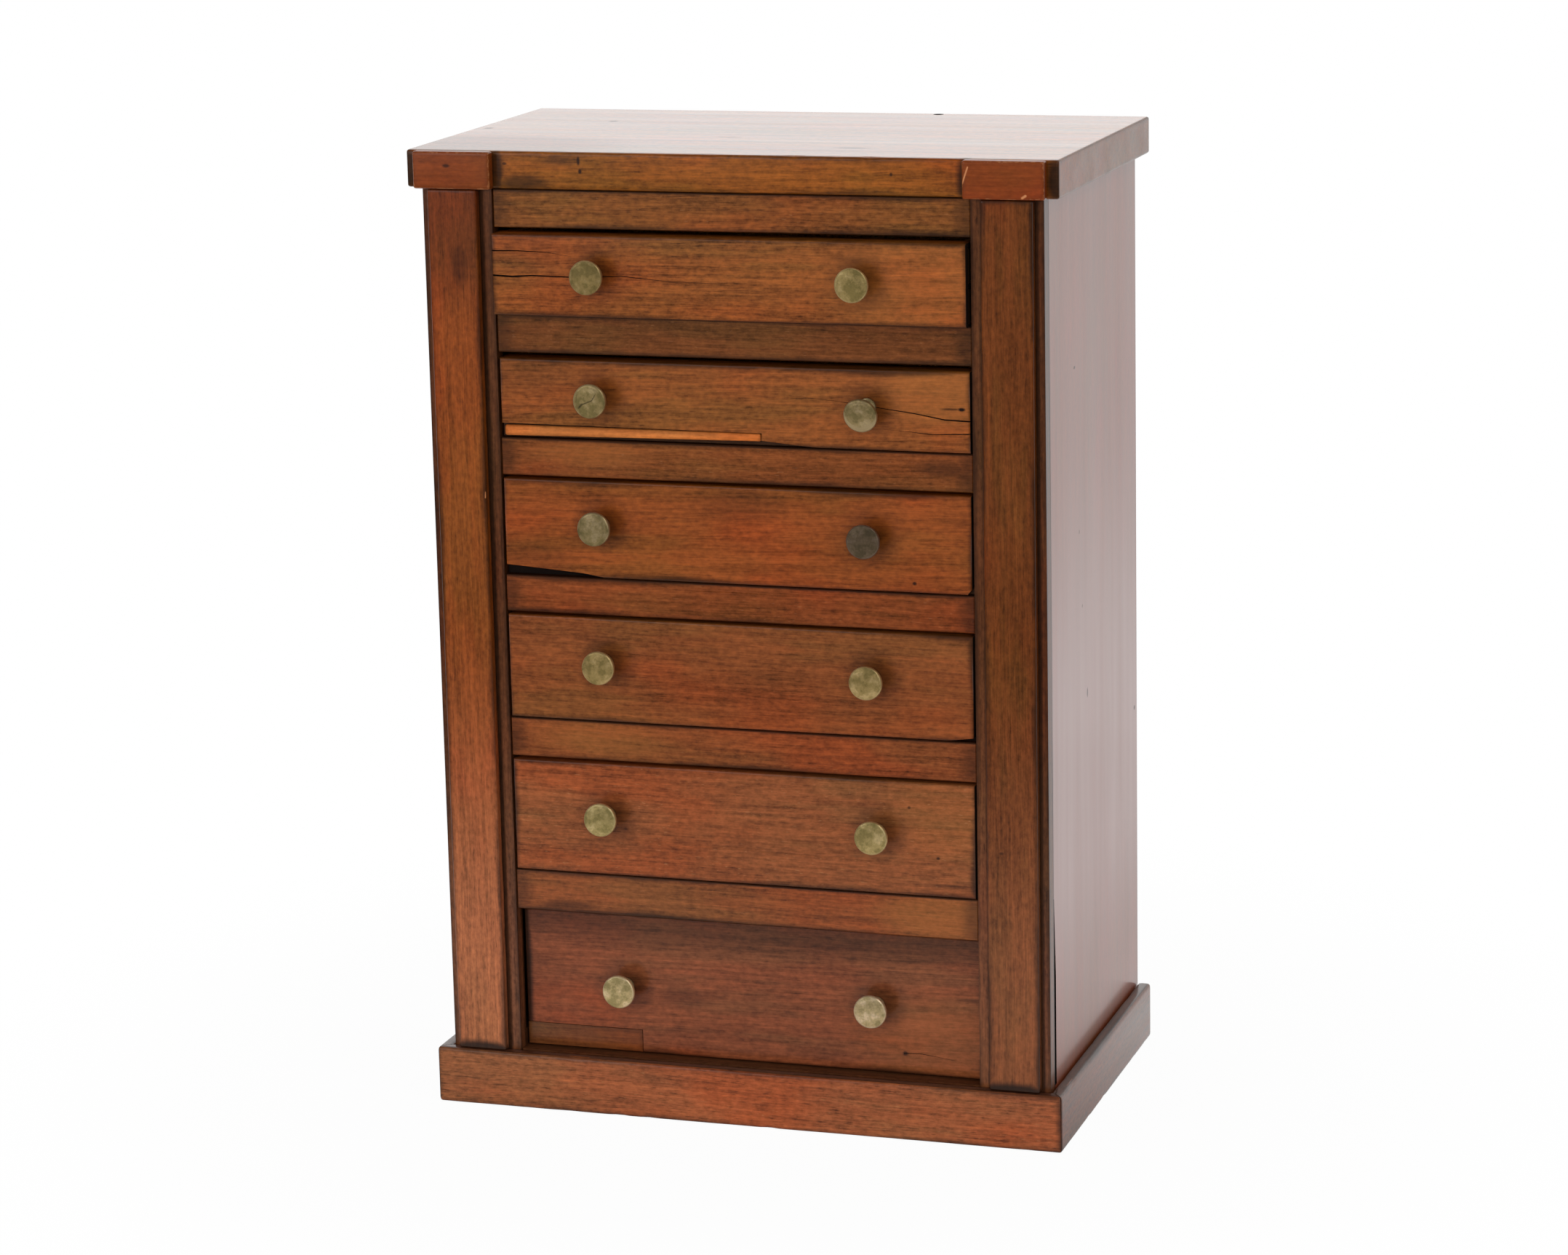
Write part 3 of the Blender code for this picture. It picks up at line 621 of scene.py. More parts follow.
def brass(name, seed, tone, centre, cracks):
    """Brass gone dull and patchy, paler low on the knob with painted light, and rubbed bright along its
    rim.
    """
    material, graph = new_material(name)
    rest = graph.place()
    patch = graph.noise(graph.mapped(rest, (190, 190, 190), (seed, seed * 2, seed * 3)), 4, 0.6)
    speck = graph.noise(graph.mapped(rest, (1100, 1100, 1100), (seed * 3, seed, seed)), 3, 0.6)
    main = colour(*tone)
    olive = colour(tone[0] * 0.84, tone[1] * 0.85, tone[2] * 0.8)
    pale = colour(tone[0] * 1.16, tone[1] * 1.17, tone[2] * 1.28)
    base = graph.mix(graph.spread(patch, 0.52, 0.4), main, olive)
    base = graph.mix(graph.spread(patch, 0.52, 0.66), base, pale)
    from_centre = graph.vector("SUBTRACT", rest, centre)
    # painted light: the knob paler towards its bottom and darker towards its top
    lower = graph.spread(graph.parts(from_centre)[2], KNOB_RADIUS, -KNOB_RADIUS, -0.16, 0.16)
    base = graph.scale(base, graph.total(1, graph.swing(speck, 0.8), lower))
    split = scratch_mask(graph, from_centre, -KNOB_PROJECTION, cracks)
    if cracks:
        base = graph.mix(graph.times(split, 0.7), base, DIRT_AND_SHADE)
    from_axis = graph.vector("MULTIPLY", from_centre, (1, 0, 1))
    rim = graph.total(graph.vector("LENGTH", from_axis), graph.swing(patch, 0.002))
    rubbed = graph.spread(rim, KNOB_RADIUS - 0.0009, KNOB_RADIUS - 0.0001, 0, 0.9)
    base = graph.mix(rubbed, base, pale)
    roughness = graph.total(0.46, graph.swing(patch, -0.4), graph.swing(speck, 0.25))
    roughness = graph.blend(rubbed, roughness, 0.28)
    inputs = {"Base Color": base, "Metallic": 0.7, "Roughness": roughness}
    inputs["Normal"] = graph.bump(0.25, speck)
    graph.finish(graph.node("ShaderNodeBsdfPrincipled", inputs))
    return material


def new_object(name, data):
    """Make an object and put it into the scene."""
    made = bpy.data.objects.new(name, data)
    bpy.context.scene.collection.objects.link(made)
    return made


def mesh_of(name, bm):
    """Turn a finished bmesh into a mesh."""
    mesh = bpy.data.meshes.new(name)
    bm.to_mesh(mesh)
    bm.free()
    return mesh


def add_piece(name, mesh, body, material):
    """Add a piece that rides on a body."""
    piece = new_object(name, mesh)
    mesh.materials.clear()
    mesh.materials.append(material)
    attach(piece, body)
    return piece


def shade(piece):
    """Shade a piece smoothly over its rounded edges, with its flat faces flat."""
    piece.data.shade_smooth()
    piece.data.set_sharp_from_angle(angle=SHARP_ANGLE)
    flat = piece.modifiers.new("flat faces", "WEIGHTED_NORMAL")
    flat.keep_sharp = True


def solid_of(node):
    """Copy a node's solid, with its points joined and its flat faces whole."""
    bm = bmesh.new()
    bm.from_mesh(nodes[node].data)
    bmesh.ops.remove_doubles(bm, verts=bm.verts, dist=0.000001)
    bmesh.ops.dissolve_limit(bm, angle_limit=radians(0.5), verts=bm.verts, edges=bm.edges)
    mesh = mesh_of(node + "_copy", bm)
    if "custom_normal" in mesh.attributes:
        mesh.attributes.remove(mesh.attributes["custom_normal"])
    return mesh


def stand_in(node, body, material):
    """Make a piece from a node's own solid, which it replaces."""
    piece = add_piece(node + "_piece", solid_of(node), body, material)
    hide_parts(node)
    return piece


def cut(piece, bm, material):
    """Cut a shape out of a piece, and give the cut faces a material."""
    mesh = mesh_of("cutter", bm)
    mesh.materials.append(material)
    cutter = new_object("cutter", mesh)
    boolean = piece.modifiers.new("cut", "BOOLEAN")
    boolean.operation = "DIFFERENCE"
    boolean.solver = "EXACT"
    boolean.material_mode = "TRANSFER"
    boolean.object = cutter
    bpy.context.view_layer.update()
    evaluated = piece.evaluated_get(bpy.context.evaluated_depsgraph_get())
    result = bpy.data.meshes.new_from_object(evaluated)
    piece.modifiers.clear()
    old = piece.data
    piece.data = result
    bpy.data.meshes.remove(old)
    bpy.data.objects.remove(cutter, do_unlink=True)


def hull(points):
    """Give the convex solid round some points."""
    bm = bmesh.new()
    for point in points:
        bm.verts.new(point)
    made = bmesh.ops.convex_hull(bm, input=bm.verts)
    spare = [item for item in made["geom_interior"] if isinstance(item, bmesh.types.BMVert)]
    bmesh.ops.delete(bm, geom=spare, context="VERTS")
    bmesh.ops.recalc_face_normals(bm, faces=bm.faces)
    return bm


def chip_cutter(face_y, front, back, depth):
    """Give a cutter for a chip: its outline (x, z) on the face and the smaller one at its depth."""
    outer = [(x, face_y - CUT_PAST, z) for x, z in front]
    inner = [(x, face_y + depth, z) for x, z in back]
    return hull(outer + inner)


def join_rings(bm, rings, closed=True):
    """Join rings of points, each to the next, and close the first and the last one."""
    count = len(rings[0])
    for first, second in zip(rings, rings[1:]):
        for index in range(count):
            following = (index + 1) % count
            bm.faces.new((first[index], first[following], second[following], second[index]))
    if closed:
        bm.faces.new(rings[0])
        bm.faces.new(rings[-1])
        bmesh.ops.recalc_face_normals(bm, faces=bm.faces)


def crack_cutter(face_y, line, width, depth):
    """Give a cutter for a crack: a groove along a line (x, z) that narrows to nothing at its end."""
    bm = bmesh.new()
    rings = []
    flare = 1 + CUT_PAST / depth
    for index, (x, z) in enumerate(line):
        before = Vector(line[max(0, index - 1)])
        after = Vector(line[min(len(line) - 1, index + 1)])
        run = (after - before).normalized()
        share = max(0.04, 1 - index / (len(line) - 1))
        across = Vector((-run.y, run.x)) * width / 2 * share ** 0.5 * flare
        floor_y = face_y + depth * share ** 0.5
        top_y = face_y - CUT_PAST
        upper = (x + across.x, top_y, z + across.y)
        lower = (x - across.x, top_y, z - across.y)
        rings.append([bm.verts.new(point) for point in (upper, (x, floor_y, z), lower)])
    join_rings(bm, rings)
    return bm


def rounded_section(half_u, half_v, radius, lip, pulls):
    """Give the points of a board's section, with each corner worn back by its pull."""
    points = []
    for corner, (sign_u, sign_v) in enumerate(((1, 1), (-1, 1), (-1, -1), (1, -1))):
        centre = Vector((sign_u * (half_u - radius), sign_v * (half_v - radius)))
        worn = Vector((-sign_u, -sign_v)) * pulls[corner] / sqrt(2)
        start = corner * QUARTER
        first = Vector((cos(start), sin(start)))
        last = Vector((-first.y, first.x))
        points.append(centre + first * radius - last * lip)
        for step in range(ARC_STEPS + 1):
            angle = QUARTER * step / ARC_STEPS
            points.append(centre + worn + (first * cos(angle) + last * sin(angle)) * radius)
        points.append(centre + last * radius - first * lip)
    return points


def stations(length, radius, lip):
    """Give the sections of a board as (place along it, how far its sides are drawn in)."""
    inner = radius + lip
    end = [(0, inner)]
    for step in range(ARC_STEPS + 1):
        angle = QUARTER * step / ARC_STEPS
        end.append((radius * (1 - cos(angle)), radius * (1 - sin(angle))))
    end.append((inner, 0))
    count = max(2, round((length - 2 * inner) / STATION_STEP))
    middle = [(inner + (length - 2 * inner) * index / count, 0) for index in range(1, count)]
    return end + middle + [(length - place, draw) for place, draw in reversed(end)]


def board_wear(length, wear, seed):
    """Give a function for how far a long edge is worn back at a place along it."""
    chance = random.Random(seed)
    dents = [[], [], [], []]
    for corner in range(4):
        for _ in range(round(length / DENT_SPACING)):
            middle = chance.uniform(0, length)
            width = chance.uniform(1, 3) * MM
            dents[corner].append((middle, width, chance.uniform(0.5, 1.5)))

    def pull(corner, place):
        ripple = noise.noise(Vector((place * 60, corner * 9.7, seed * 3.1)))
        depth = 0.6 + 0.4 * ripple
        for middle, width, strength in dents[corner]:
            depth += strength * exp(-((place - middle) / width) ** 2)
        return wear * depth

    return pull


def worn_board(name, box, axis, radius, wear, seed):
    """Make a board along an axis, with rounded edges that are worn unevenly."""
    low, high = box
    along = "xyz".index(axis)
    u, v = [index for index in range(3) if index != along]
    half = (high - low) / 2
    centre = (high + low) / 2
    length = high[along] - low[along]
    pull = board_wear(length, wear, seed)
    lip = min(SECTION_LIP, (min(half[u], half[v]) - radius) * 0.4)
    bm = bmesh.new()
    rings = []
    for place, draw in stations(length, radius, lip):
        inside = max(radius - draw, LEAST_ROUND)
        pulls = [pull(corner, place) * (1 - min(draw / radius, 1)) for corner in range(4)]
        ring = []
        for point in rounded_section(half[u] - draw, half[v] - draw, inside, lip, pulls):
            co = Vector((0, 0, 0))
            co[along] = low[along] + place
            co[u] = centre[u] + point.x
            co[v] = centre[v] + point.y
            ring.append(bm.verts.new(co))
        rings.append(ring)
    join_rings(bm, rings)
    mesh = mesh_of(name, bm)
    mesh.shade_smooth()
    return mesh


def knob_profile():
    """Give a knob's outline as (radius, height), from its face to the end of its shank."""
    rim_top = KNOB_PROJECTION - KNOB_DOME
    rim_low = rim_top - KNOB_RIM
    neck_top = rim_low - KNOB_UNDERCUT
    flare = KNOB_ROSE_RADIUS - KNOB_NECK_RADIUS
    points = []
    for step in range(1, KNOB_DOME_STEPS + 1):
        share = sin(QUARTER * step / KNOB_DOME_STEPS)
        radius = KNOB_RADIUS * share
        ring = KNOB_RING_DEPTH * exp(-((radius - KNOB_RING_RADIUS) / KNOB_RING_WIDTH) ** 2)
        dome = KNOB_DOME * (0.3 * (1 - share ** 2) + 0.7 * sqrt(1 - share ** 5))
        points.append((radius, rim_top + dome - ring))
    points.append((KNOB_RADIUS + KNOB_EASE, rim_top - KNOB_RIM * 0.35))
    points.append((KNOB_RADIUS, rim_low + KNOB_RIM * 0.2))
    for step in range(KNOB_NECK_STEPS + 1):
        angle = QUARTER * step / KNOB_NECK_STEPS
        radius = KNOB_RADIUS - (KNOB_RADIUS - KNOB_NECK_RADIUS) * sin(angle)
        points.append((radius - KNOB_EASE, neck_top + KNOB_UNDERCUT * cos(angle)))
    for step in range(KNOB_ROSE_STEPS + 1):
        angle = QUARTER * step / KNOB_ROSE_STEPS
        radius = KNOB_ROSE_RADIUS - flare * cos(angle)
        points.append((radius, KNOB_ROSE_THICK + flare * (1 - sin(angle))))
    points += [
        (KNOB_ROSE_RADIUS, 2 * KNOB_EASE),
        (KNOB_ROSE_RADIUS - 2 * KNOB_EASE, 0),
        (KNOB_SHANK_RADIUS, 0),
        (KNOB_SHANK_RADIUS, -KNOB_SHANK_LENGTH),
    ]
    return points


def knob_mesh(name, centre, droop, swing):
    """Turn a knob about an axis out of the drawer front, with its head bent down and aside."""
    bm = bmesh.new()
    rings = []
    for radius, height in knob_profile():
        ring = []
        for step in range(KNOB_STEPS):
            angle = 2 * pi * step / KNOB_STEPS
            ring.append(bm.verts.new((radius * cos(angle), -height, radius * sin(angle))))
        rings.append(ring)
    join_rings(bm, rings, closed=False)
    middle = bm.verts.new((0, -KNOB_PROJECTION, 0))
    foot = bm.verts.new((0, KNOB_SHANK_LENGTH, 0))
    for index in range(KNOB_STEPS):
        following = (index + 1) % KNOB_STEPS
        bm.faces.new((middle, rings[0][following], rings[0][index]))
        bm.faces.new((foot, rings[-1][index], rings[-1][following]))
    bmesh.ops.recalc_face_normals(bm, faces=bm.faces)
    for vert in bm.verts:
        share = min(max((-vert.co.y - KNOB_ROSE_THICK) / KNOB_BEND_LENGTH, 0), 1)
        bend = Matrix.Rotation(droop * share, 3, "X") @ Matrix.Rotation(-swing * share, 3, "Z")
        pivot = Vector((0, -KNOB_ROSE_THICK, 0))
        vert.co = centre + pivot + bend @ (vert.co - pivot)
    mesh = mesh_of(name, bm)
    mesh.shade_smooth()
    mesh.set_sharp_from_angle(angle=KNOB_SHARP)
    return mesh


def make_knobs(number):
    """Make a drawer's two knobs."""
    prefix = "drawer_%d" % number
    for label, side in SIDES:
        node = "%s_knob_%s" % (prefix, label)
        low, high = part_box(node)
        face_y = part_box(prefix + "_front")[0].y
        centre = Vector(((low.x + high.x) / 2, face_y - KNOB_SEAT_GAP, (low.z + high.z) / 2))
        droop, swing = KNOB_BENDS.get(node, (0.02 * side, 0.015 * sin(number)))
        tone = KNOB_TONES[number - 1][label == "right"]
        mesh = knob_mesh(node + "_turned", centre, droop, swing)
        cracks = KNOB_CRACKS.get(node, ())
        material = brass(node + "_brass", number * 2.3 + side, tone, centre, cracks)
        piece = add_piece(node + "_turned", mesh, prefix, material)
        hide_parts(node)


def lower_left_cut(face_y, left, bottom):
    """Give the cutter for the edge that the second drawer's strip mends."""
    front = [
        (left - CUT_PAST, bottom - CUT_PAST),
        (STRIP_END + 2 * REPAIR_GAP, bottom - CUT_PAST),
        (STRIP_END + 2 * REPAIR_GAP, bottom + STRIP_TOP),
        (left - CUT_PAST, bottom + STRIP_TOP + STRIP_SLOPE),
    ]
    return chip_cutter(face_y, front, front, STRIP_DEPTH)


def make_strip(front_box):
    """Make the pale strip let into the second drawer's lower edge."""
    low = front_box[0]
    strip_low = Vector((low.x + STRIP_INSET, low.y + REPAIR_SINK, low.z + 2 * REPAIR_GAP))
    back = low.y + STRIP_DEPTH - 2 * REPAIR_SINK
    strip_high = Vector((STRIP_END, back, low.z + STRIP_TOP - REPAIR_GAP))
    strip_box = (strip_low, strip_high)
    mesh = worn_board("drawer_2_strip", strip_box, "x", *EDGES["strip"], 5)
    run = strip_high.x - strip_low.x
    rise = strip_high.z - strip_low.z
    for vert in mesh.vertices:
        share = (vert.co.x - strip_low.x) / run
        hang = (strip_high.z - vert.co.z) / rise
        vert.co.z += STRIP_TAPER * share * hang
    look = dict(dirt=0.35, gloss=0.5, coat=0, grain=0.8)
    material = wood("strip_wood", "x", 77, STRIP_TONE, strip_box, **look)
    add_piece("drawer_2_strip", mesh, "drawer_2", material)


def make_patch(front_box):
    """Make the patch let into the lowest drawer's lower left corner."""
    low = front_box[0]
    patch_low = Vector((low.x + REPAIR_GAP, low.y + REPAIR_SINK, low.z + REPAIR_GAP))
    back = low.y + PATCH_DEPTH - 2 * REPAIR_SINK
    patch_box = (patch_low, Vector((low.x + PATCH_LENGTH, back, low.z + PATCH_HEIGHT)))
    mesh = worn_board("drawer_6_patch", patch_box, "x", *EDGES["patch"], 6)
    material = wood("patch_wood", "x", 81, PATCH_TONE, patch_box, dirt=0.4)
    add_piece("drawer_6_patch", mesh, "drawer_6", material)


def damage_front(number, piece, box):
    """Cut the cracks, chips and lost edges that a drawer front shows."""
    low, high = box
    face = low.y
    left, right = low.x - CUT_PAST, high.x + CUT_PAST
    bottom, top = low.z, high.z + CUT_PAST
    below = bottom - CUT_PAST
    cracks = {
        1: [
            ([(left, 0.4143), (-0.1, 0.4146), (-0.086, 0.4142), (-0.074, 0.4124)], 0.0007),
            ([(left, 0.4031), (-0.1035, 0.4026), (-0.0938, 0.4033), (-0.075, 0.403),
              (-0.05, 0.404), (-0.0286, 0.4022), (0, 0.4015)], 0.0009),
        ],
        2: [
            ([(right, 0.3412), (0.1012, 0.3417), (0.0866, 0.3442), (0.07, 0.3462),
              (0.0516, 0.3485), (0.0278, 0.3504)], 0.0007),
            ([(right, 0.3356), (0.0952, 0.3347), (0.0855, 0.3356), (0.0716, 0.3364)], 0.0005),
        ],
        6: [([(0.0752, 0.0379), (0.083, 0.0384), (0.093, 0.0372), (0.1061, 0.0352)], 0.0004)],
    }
    for line, width in cracks.get(number, ()):
        cut(piece, crack_cutter(face, line, width, CRACK_DEPTH), crack_dirt_and_shade)
    if number == 2:
        cut(piece, lower_left_cut(face, low.x, bottom), broken_wood)
        notch = [(STRIP_END, below), (0.042, below), (0.042, bottom), (STRIP_END, bottom + 0.0026)]
        cut(piece, chip_cutter(face, notch, notch, CHIP_DEPTH), broken_wood)
        slant = [(left, below), (low.x + 0.0006, below), (low.x + 0.0001, top), (left, top)]
        cut(piece, chip_cutter(face, slant, slant, CHIP_DEPTH), broken_wood)
    if number == 3:
        splinter = [
            (left, below), (-0.06, below), (-0.0605, bottom + 0.0004),
            (-0.0669, bottom + 0.0016), (-0.09, bottom + 0.0034), (left, bottom + 0.0052),
        ]
        inner = [(left, below), (-0.064, below), (-0.09, bottom + 0.0026), (left, bottom + 0.004)]
        cut(piece, chip_cutter(face, splinter, inner, CHIP_DEPTH), crack_dirt_and_shade)
        corner = [
            (right, below), (high.x - 0.003, below), (high.x - 0.0026, bottom),
            (high.x - 0.0008, bottom + 0.001), (high.x, bottom + 0.003), (right, bottom + 0.0032),
        ]
        cut(piece, chip_cutter(face, corner, corner, CHIP_DEPTH), broken_wood)
    if number == 4:
        wedge = [(0.099, below), (right, below), (right, bottom + 0.0022), (0.0996, bottom)]
        cut(piece, chip_cutter(face, wedge, wedge, CHIP_DEPTH), crack_dirt_and_shade)
    if number == 6:
        patch_right = low.x + PATCH_LENGTH + REPAIR_GAP
        patch_top = bottom + PATCH_HEIGHT + REPAIR_GAP
        seat = [(left, below), (patch_right, below), (patch_right, patch_top), (left, patch_top)]
        cut(piece, chip_cutter(face, seat, seat, PATCH_DEPTH), crack_dirt_and_shade)


def knob_dirt_and_shade(prefix):
    """Give the spots round a drawer's knobs: dirt from hands, and painted shade of the knobs."""
    spots = []
    for label in ("left", "right"):
        low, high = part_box("%s_knob_%s" % (prefix, label))
        middle = (low + high) / 2
        spots.append((middle.x, middle.z, HAND_REACH, HAND_REACH, HAND_DIRT_AND_SHADE))
    return spots


def make_drawers():
    """Give each drawer its front, lining and knobs."""
    for number in range(1, 7):
        prefix = "drawer_%d" % number
        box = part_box(prefix + "_front")
        material = wood(
            prefix + "_front_wood", "x", 40 + number * 1.91, FRONT_TONES[number - 1], box,
            dirt=0.8, lean=FRONT_LEAN[number - 1], grain=FRONT_GRAIN[number - 1],
            flecks=FRONT_FLECKS[number - 1],
            marks=on_front(box[0].y, SPOTS.get(prefix + "_front", []) + knob_dirt_and_shade(prefix)),
            paler=on_front(box[0].y, PALER.get(prefix + "_front", [])),
        )
        front = stand_in(prefix + "_front", prefix, material)
        # the front's end faces dark: dirt and painted shade in the narrow gap
        set_faces(front, "x", end_dirt_and_shade)
        damage_front(number, front, box)
        shade(front)
        for label, axis in (("box", "y"), ("bottom", "x")):
            node = "%s_%s" % (prefix, label)
            lining = wood(
                node + "_wood", axis, 60 + number, LINING_TONE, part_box(node),
                dirt=0.3, gloss=0.6, coat=0, marks=MARKS.get(node, ()),
            )
            paint(node, lining)
        make_knobs(number)
    make_strip(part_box("drawer_2_front"))
    make_patch(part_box("drawer_6_front"))


def paint(node, material):
    """Give a node that stays as it is one material."""
    mesh = nodes[node].data
    mesh.materials.clear()
    mesh.materials.append(material)


def set_faces(piece, axis, material):
    """Give the faces of a piece that look along an axis, either way, another material."""
    mesh = piece.data
    mesh.materials.append(material)
    for polygon in mesh.polygons:
        if abs(polygon.normal["xyz".index(axis)]) > 0.9:
            polygon.material_index = len(mesh.materials) - 1


def worn_piece(node, box, axis, material, seed):
    """Make a worn board of the case, which replaces a node."""
    kind = node.split("_")[0]
    mesh = worn_board(node + "_worn", box, axis, *EDGES[kind], seed)
    piece = add_piece(node + "_worn", mesh, "case", material)
    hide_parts(node)
    return piece


def make_boards():
    """Make the boards whose edges are rounded and worn: pilasters, blocks and top."""
    boards = {"top_board": ("x", TOP_TONE, dict(dirt=0.6, grain=1.3))}
    for label in ("left", "right"):
        look = dict(dirt=0.8, grain=1.2, porous=0.2, foot=PILASTER_FOOT[label])
        boards["pilaster_" + label] = ("z", PILASTER_TONES[label], look)
        # the cap blocks' pale edges are partly wear and partly painted highlight
        look = dict(dirt=0.3, grain=0.7, worn=0.3)
        boards["cap_block_" + label] = ("x", BLOCK_TONE, look)
    for seed, (node, (axis, tone, look)) in enumerate(boards.items()):
        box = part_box(node)
        marks = on_front(box[0].y, SPOTS.get(node, ())) + MARKS.get(node, [])
        scratches = SCRATCHES.get(node, ())
        material = wood(
            node + "_wood", axis, 11 + seed * 1.7, tone, box, marks=marks, scratches=scratches, **look,
        )
        piece = worn_piece(node, box, axis, material, seed)
        if node == "top_board":
            end = wood("top_end_wood", "x", 19, TOP_TONE, box, coat=0.42, polish=0.2)
            upper = wood("top_upper_wood", "x", 19.7, TOP_TONE, box, marks=marks, **TOP_UPPER_LOOK)
            set_faces(piece, "x", end)
            set_faces(piece, "z", upper)
            cut(piece, rear_dent(box), crack_dirt_and_shade)
        shade(piece)


def rear_dent(box):
    """Give the cutter for a dark dent in the top, close to its rear edge."""
    points = []
    for radius, height in ((DENT_RADIUS, CUT_PAST), (DENT_RADIUS * 0.8, -DENT_DEPTH)):
        for step in range(12):
            angle = 2 * pi * step / 12
            x = DENT_PLACE + radius * cos(angle)
            y = box[1].y - DENT_RADIUS - DENT_INSET + radius * sin(angle)
            points.append((x, y, box[1].z + height))
    return hull(points)


def side_gap(box):
    """Give the cutter for the gap that has opened along the right side's front edge."""
    outer, front = box[1].x, box[0].y
    outline = [
        (front - CUT_PAST, 0.118), (front + 0.0002, 0.118), (front + 0.0012, 0.1),
        (front + SIDE_GAP, 0.08), (front + SIDE_GAP, 0.028), (front - CUT_PAST, 0.028),
    ]
    points = []
    for y, z in outline:
        points += [(outer - SIDE_GAP_DEPTH, y, z), (outer + CUT_PAST, y, z)]
    return hull(points)


def plinth_box(node):
    """Give the box of a plinth board before its mitres are cut."""
    low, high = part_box(node)
    low.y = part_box("plinth_front")[0].y
    if node == "plinth_front":
        low.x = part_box("plinth_left")[0].x
        high.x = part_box("plinth_right")[1].x
    return low, high


def mitre_cutter(box, side, of_front):
    """Give the cutter for a plinth board's mitre at one of the chest's front corners."""
    low, high = box
    corner_x = low.x if side < 0 else high.x
    near = -CUT_PAST
    far = min(high.x - low.x, high.y - low.y) + CUT_PAST
    points = []
    for across, along in ((near + MITRE_GAP, near), (far + MITRE_GAP, far), (near + MITRE_GAP, far)):
        from_side, from_front = (across, along) if of_front else (along, across)
        for z in (low.z - CUT_PAST, high.z + CUT_PAST):
            points.append((corner_x - side * from_side, low.y + from_front, z))
    return hull(points)


def beside_pilaster(label, box):
    """Give the marks on a stile: painted shadow along its pilaster's edges, and dirt at its foot."""
    middle = (box[0] + box[1]) / 2
    marks = [((middle.x, box[0].y, box[0].z), (PILASTER_SHADOW_WIDTH * 12, SPOT_DEPTH, FOOT_DIRT), 0.8)]
    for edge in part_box("pilaster_" + label):
        marks.append(((edge.x, box[0].y, middle.z), (PILASTER_SHADOW_WIDTH, SPOT_DEPTH, 1), 0.75))
    return marks


def dress_case():
    """Give the other boards of the case their wood."""
    boards = {"top_rail": ("x", TOP_RAIL_TONE, dict(dirt=0.85, flecks=0.2, grain=1.6))}
    for number in range(1, 6):
        look = dict(dirt=0.85, flecks=0.15, grain=1.25)
        boards["drawer_rail_%d" % number] = ("x", RAIL_TONES[number - 1], look)
    look = dict(dirt=0.75, flecks=0.35, grain=1.25, porous=0.34)
    boards["plinth_front"] = ("x", PLINTH_TONE, look)
    for label, side in SIDES:
        look = dict(dirt=0.85, flecks=0.2, grain=1.3, coat=0.6, polish=0.16)
        boards["plinth_" + label] = ("y", PLINTH_SIDE_TONE, look)
        boards["side_" + label] = ("z", SIDE_TONE, dict(SIDE_LOOK, haze=SIDE_PAINTED_SHEEN[label]))
        # the stiles' feet also get painted light from the floor
        boards["stile_" + label] = ("z", STILE_TONES[label], dict(dirt=0.75, grain=1.3, foot=0.15))
    for seed, (node, (axis, tone, look)) in enumerate(boards.items()):
        box = plinth_box(node) if node.startswith("plinth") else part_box(node)
        marks = MARKS.get(node, [])
        paler = on_front(box[0].y, PALER.get(node, ()))
        if "rail" in node:
            middle = (box[0].z + box[1].z) / 2
            spots = [(side * RAIL_END, middle, *RAIL_SOIL) for label, side in SIDES]
            # painted shadow line along the rail's upper edge
            spots.append((0, box[1].z, 0.4, RAIL_SHADOW_LINE, 0.9))
            marks = on_front(box[0].y, spots + SPOTS.get(node, []))
        if node.startswith("stile"):
            marks = beside_pilaster(node.split("_")[1], box)
        look.update(marks=marks, paler=paler)
        material = wood(node + "_wood", axis, 20 + seed * 1.37, tone, box, **look)
        if node.startswith("plinth"):
            piece = worn_piece(node, box, axis, material, 30 + seed)
            # its ledge, dark with dirt and painted shade
            ledge = wood(node + "_ledge", axis, 34 + seed, LEDGE_TONE, box, **LEDGE_LOOK)
            set_faces(piece, "z", ledge)
            for label, side in SIDES:
                if node in ("plinth_front", "plinth_" + label):
                    piece.modifiers.new("triangles", "TRIANGULATE")
                    cut(piece, mitre_cutter(box, side, node == "plinth_front"), crack_dirt_and_shade)
            shade(piece)
        elif node == "side_right":
            piece = stand_in(node, "case", material)
            # the gap's faces are black: painted shade, partly dirt
            cut(piece, side_gap(box), crack_dirt_and_shade)
            shade(piece)
        else:
            paint(node, material)
    inner = {"bottom_board": ("x", DARK_TONE), "back_panel": ("z", BACK_TONE)}
    for number in range(1, 6):
        for label, side in SIDES:
            inner["runner_%s_%d" % (label, number)] = ("y", LINING_TONE)
    look = dict(dirt=0.4, gloss=0.6, coat=0)
    for seed, (node, (axis, tone)) in enumerate(inner.items()):
        paint(node, wood(node + "_wood", axis, 90 + seed, tone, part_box(node), **look))


def add_softbox(name, place, size, radiance, mirrored):
    """Add a square lamp that shines with a radiance at the chest, and may show in polished surfaces."""
    light = bpy.data.lights.new(name, "AREA")
    light.shape = "SQUARE"
    light.size = size
    light.energy = radiance * pi * size * size
    lamp = new_object(name, light)
    lamp.location = place
    lamp.rotation_euler = (MIDDLE - Vector(place)).to_track_quat("-Z", "Y").to_euler()
    lamp.visible_glossy = mirrored


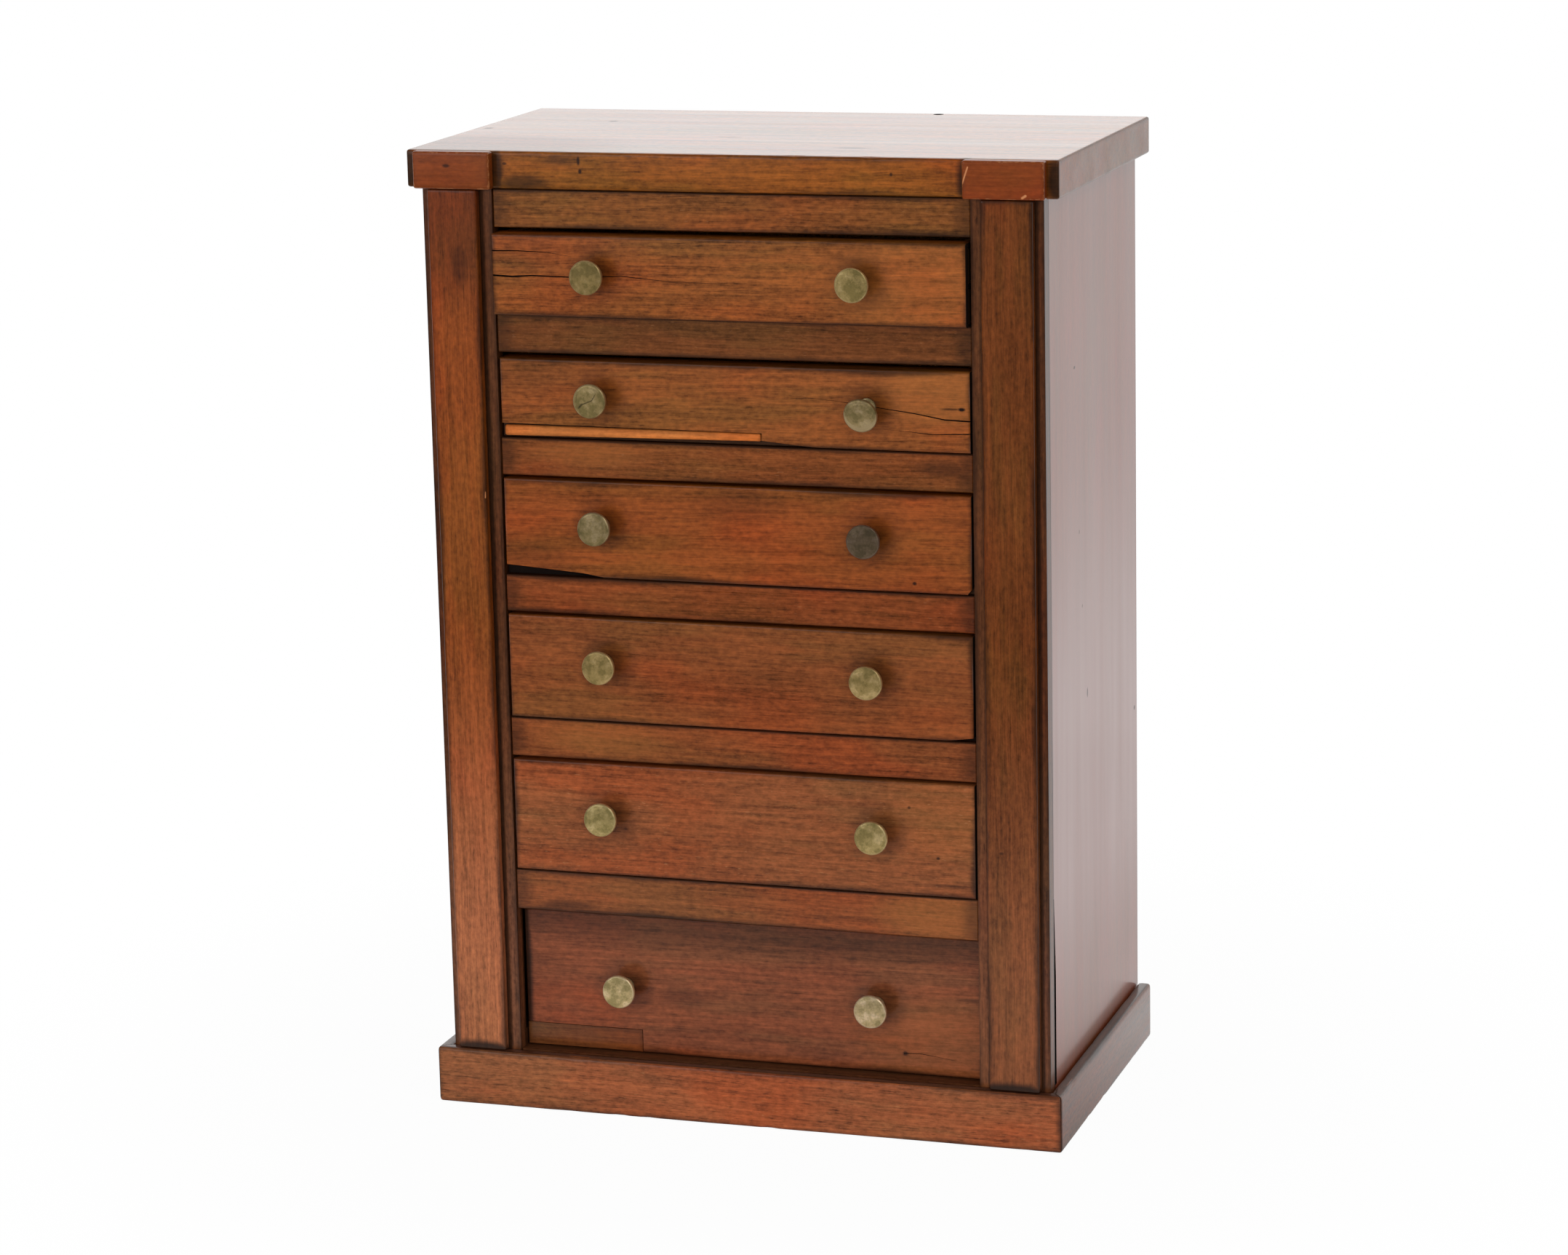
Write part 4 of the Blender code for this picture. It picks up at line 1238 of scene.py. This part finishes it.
def light_scene():
    """Make the white surroundings, dim on the camera's side, and the lamps."""
    world = bpy.data.worlds.new("studio")
    bpy.context.scene.world = world
    world.use_nodes = True
    graph = Graph(world.node_tree)
    path, seen = graph.rays()
    direction = graph.node("ShaderNodeTexCoord", {}).outputs["Generated"]
    turn = graph.parts(direction)
    room = graph.spread(turn[1], -0.35, 0.25, 0.06, 1)
    level = graph.blend(path["Is Glossy Ray"], graph.spread(turn[2], -0.3, 0.2, 0.15, 0.22), room)
    level = graph.blend(seen, level, 1)
    background = graph.node("ShaderNodeBackground", {"Color": (1, 1, 1, 1), "Strength": level})
    output = graph.node("ShaderNodeOutputWorld", {})
    graph.put(output.inputs["Surface"], background.outputs[0])
    for name, lamp in LAMPS.items():
        add_softbox(name, *lamp)


def add_floor():
    """Make a round white floor that keeps the chest's shadow."""
    bm = bmesh.new()
    bmesh.ops.create_circle(bm, cap_ends=True, segments=96, radius=FLOOR_RADIUS)
    mesh = mesh_of("floor", bm)
    floor = new_object("floor", mesh)
    floor.location.z = -FLOOR_GAP
    material, graph = new_material("floor_white")
    path, seen = graph.rays()
    depth = graph.parts(graph.place())[1]
    bright = graph.spread(depth, -0.15, 0.2, 0, 0.85)
    dark = graph.spread(depth, -0.7, -0.25, 0.75, 0)
    mirrored = graph.times(graph.most(bright, dark), path["Is Glossy Ray"])
    away = graph.vector("LENGTH", graph.place())
    white = graph.spread(away, 0.2, 0.5, FLOOR_WHITE, 1)
    share = graph.most(graph.times(seen, white), mirrored)
    diffuse = graph.node("ShaderNodeBsdfDiffuse", {"Color": (0.9, 0.9, 0.9, 1)})
    level = graph.most(seen, graph.spread(depth, -0.2, -0.15))
    glow = graph.node("ShaderNodeEmission", {"Color": (1, 1, 1, 1), "Strength": level})
    inputs = {0: share, 1: diffuse.outputs[0], 2: glow.outputs[0]}
    graph.finish(graph.node("ShaderNodeMixShader", inputs))
    mesh.materials.append(material)


def add_camera():
    """Make the camera that sees the chest as the photograph does."""
    data = bpy.data.cameras.new("camera")
    data.lens = CAMERA_LENS
    data.sensor_width = 36
    data.sensor_fit = "HORIZONTAL"
    data.clip_start = 0.05
    data.clip_end = 20
    camera = new_object("camera", data)
    turn = Matrix.Rotation(CAMERA_AZIMUTH, 4, "Z")
    turn @= Matrix.Rotation(QUARTER - CAMERA_ELEVATION, 4, "X")
    turn @= Matrix.Rotation(CAMERA_ROLL, 4, "Z")
    camera.matrix_world = Matrix.Translation(CAMERA_PLACE) @ turn
    bpy.context.scene.camera = camera


# dark cracks, gaps and mitres: partly dirt, partly painted shade
crack_dirt_and_shade = dark_wood("crack_dirt_and_shade", colour(18, 11, 8), 1)
broken_wood = dark_wood("broken_wood", colour(58, 38, 26), 2)
# dark drawer ends: partly dirt, partly painted shade
end_dirt_and_shade = dark_wood("end_dirt_and_shade", colour(26, 16, 11), 3)
make_boards()
dress_case()
make_drawers()
light_scene()
add_floor()
add_camera()
bpy.context.scene.view_settings.view_transform = "Standard"
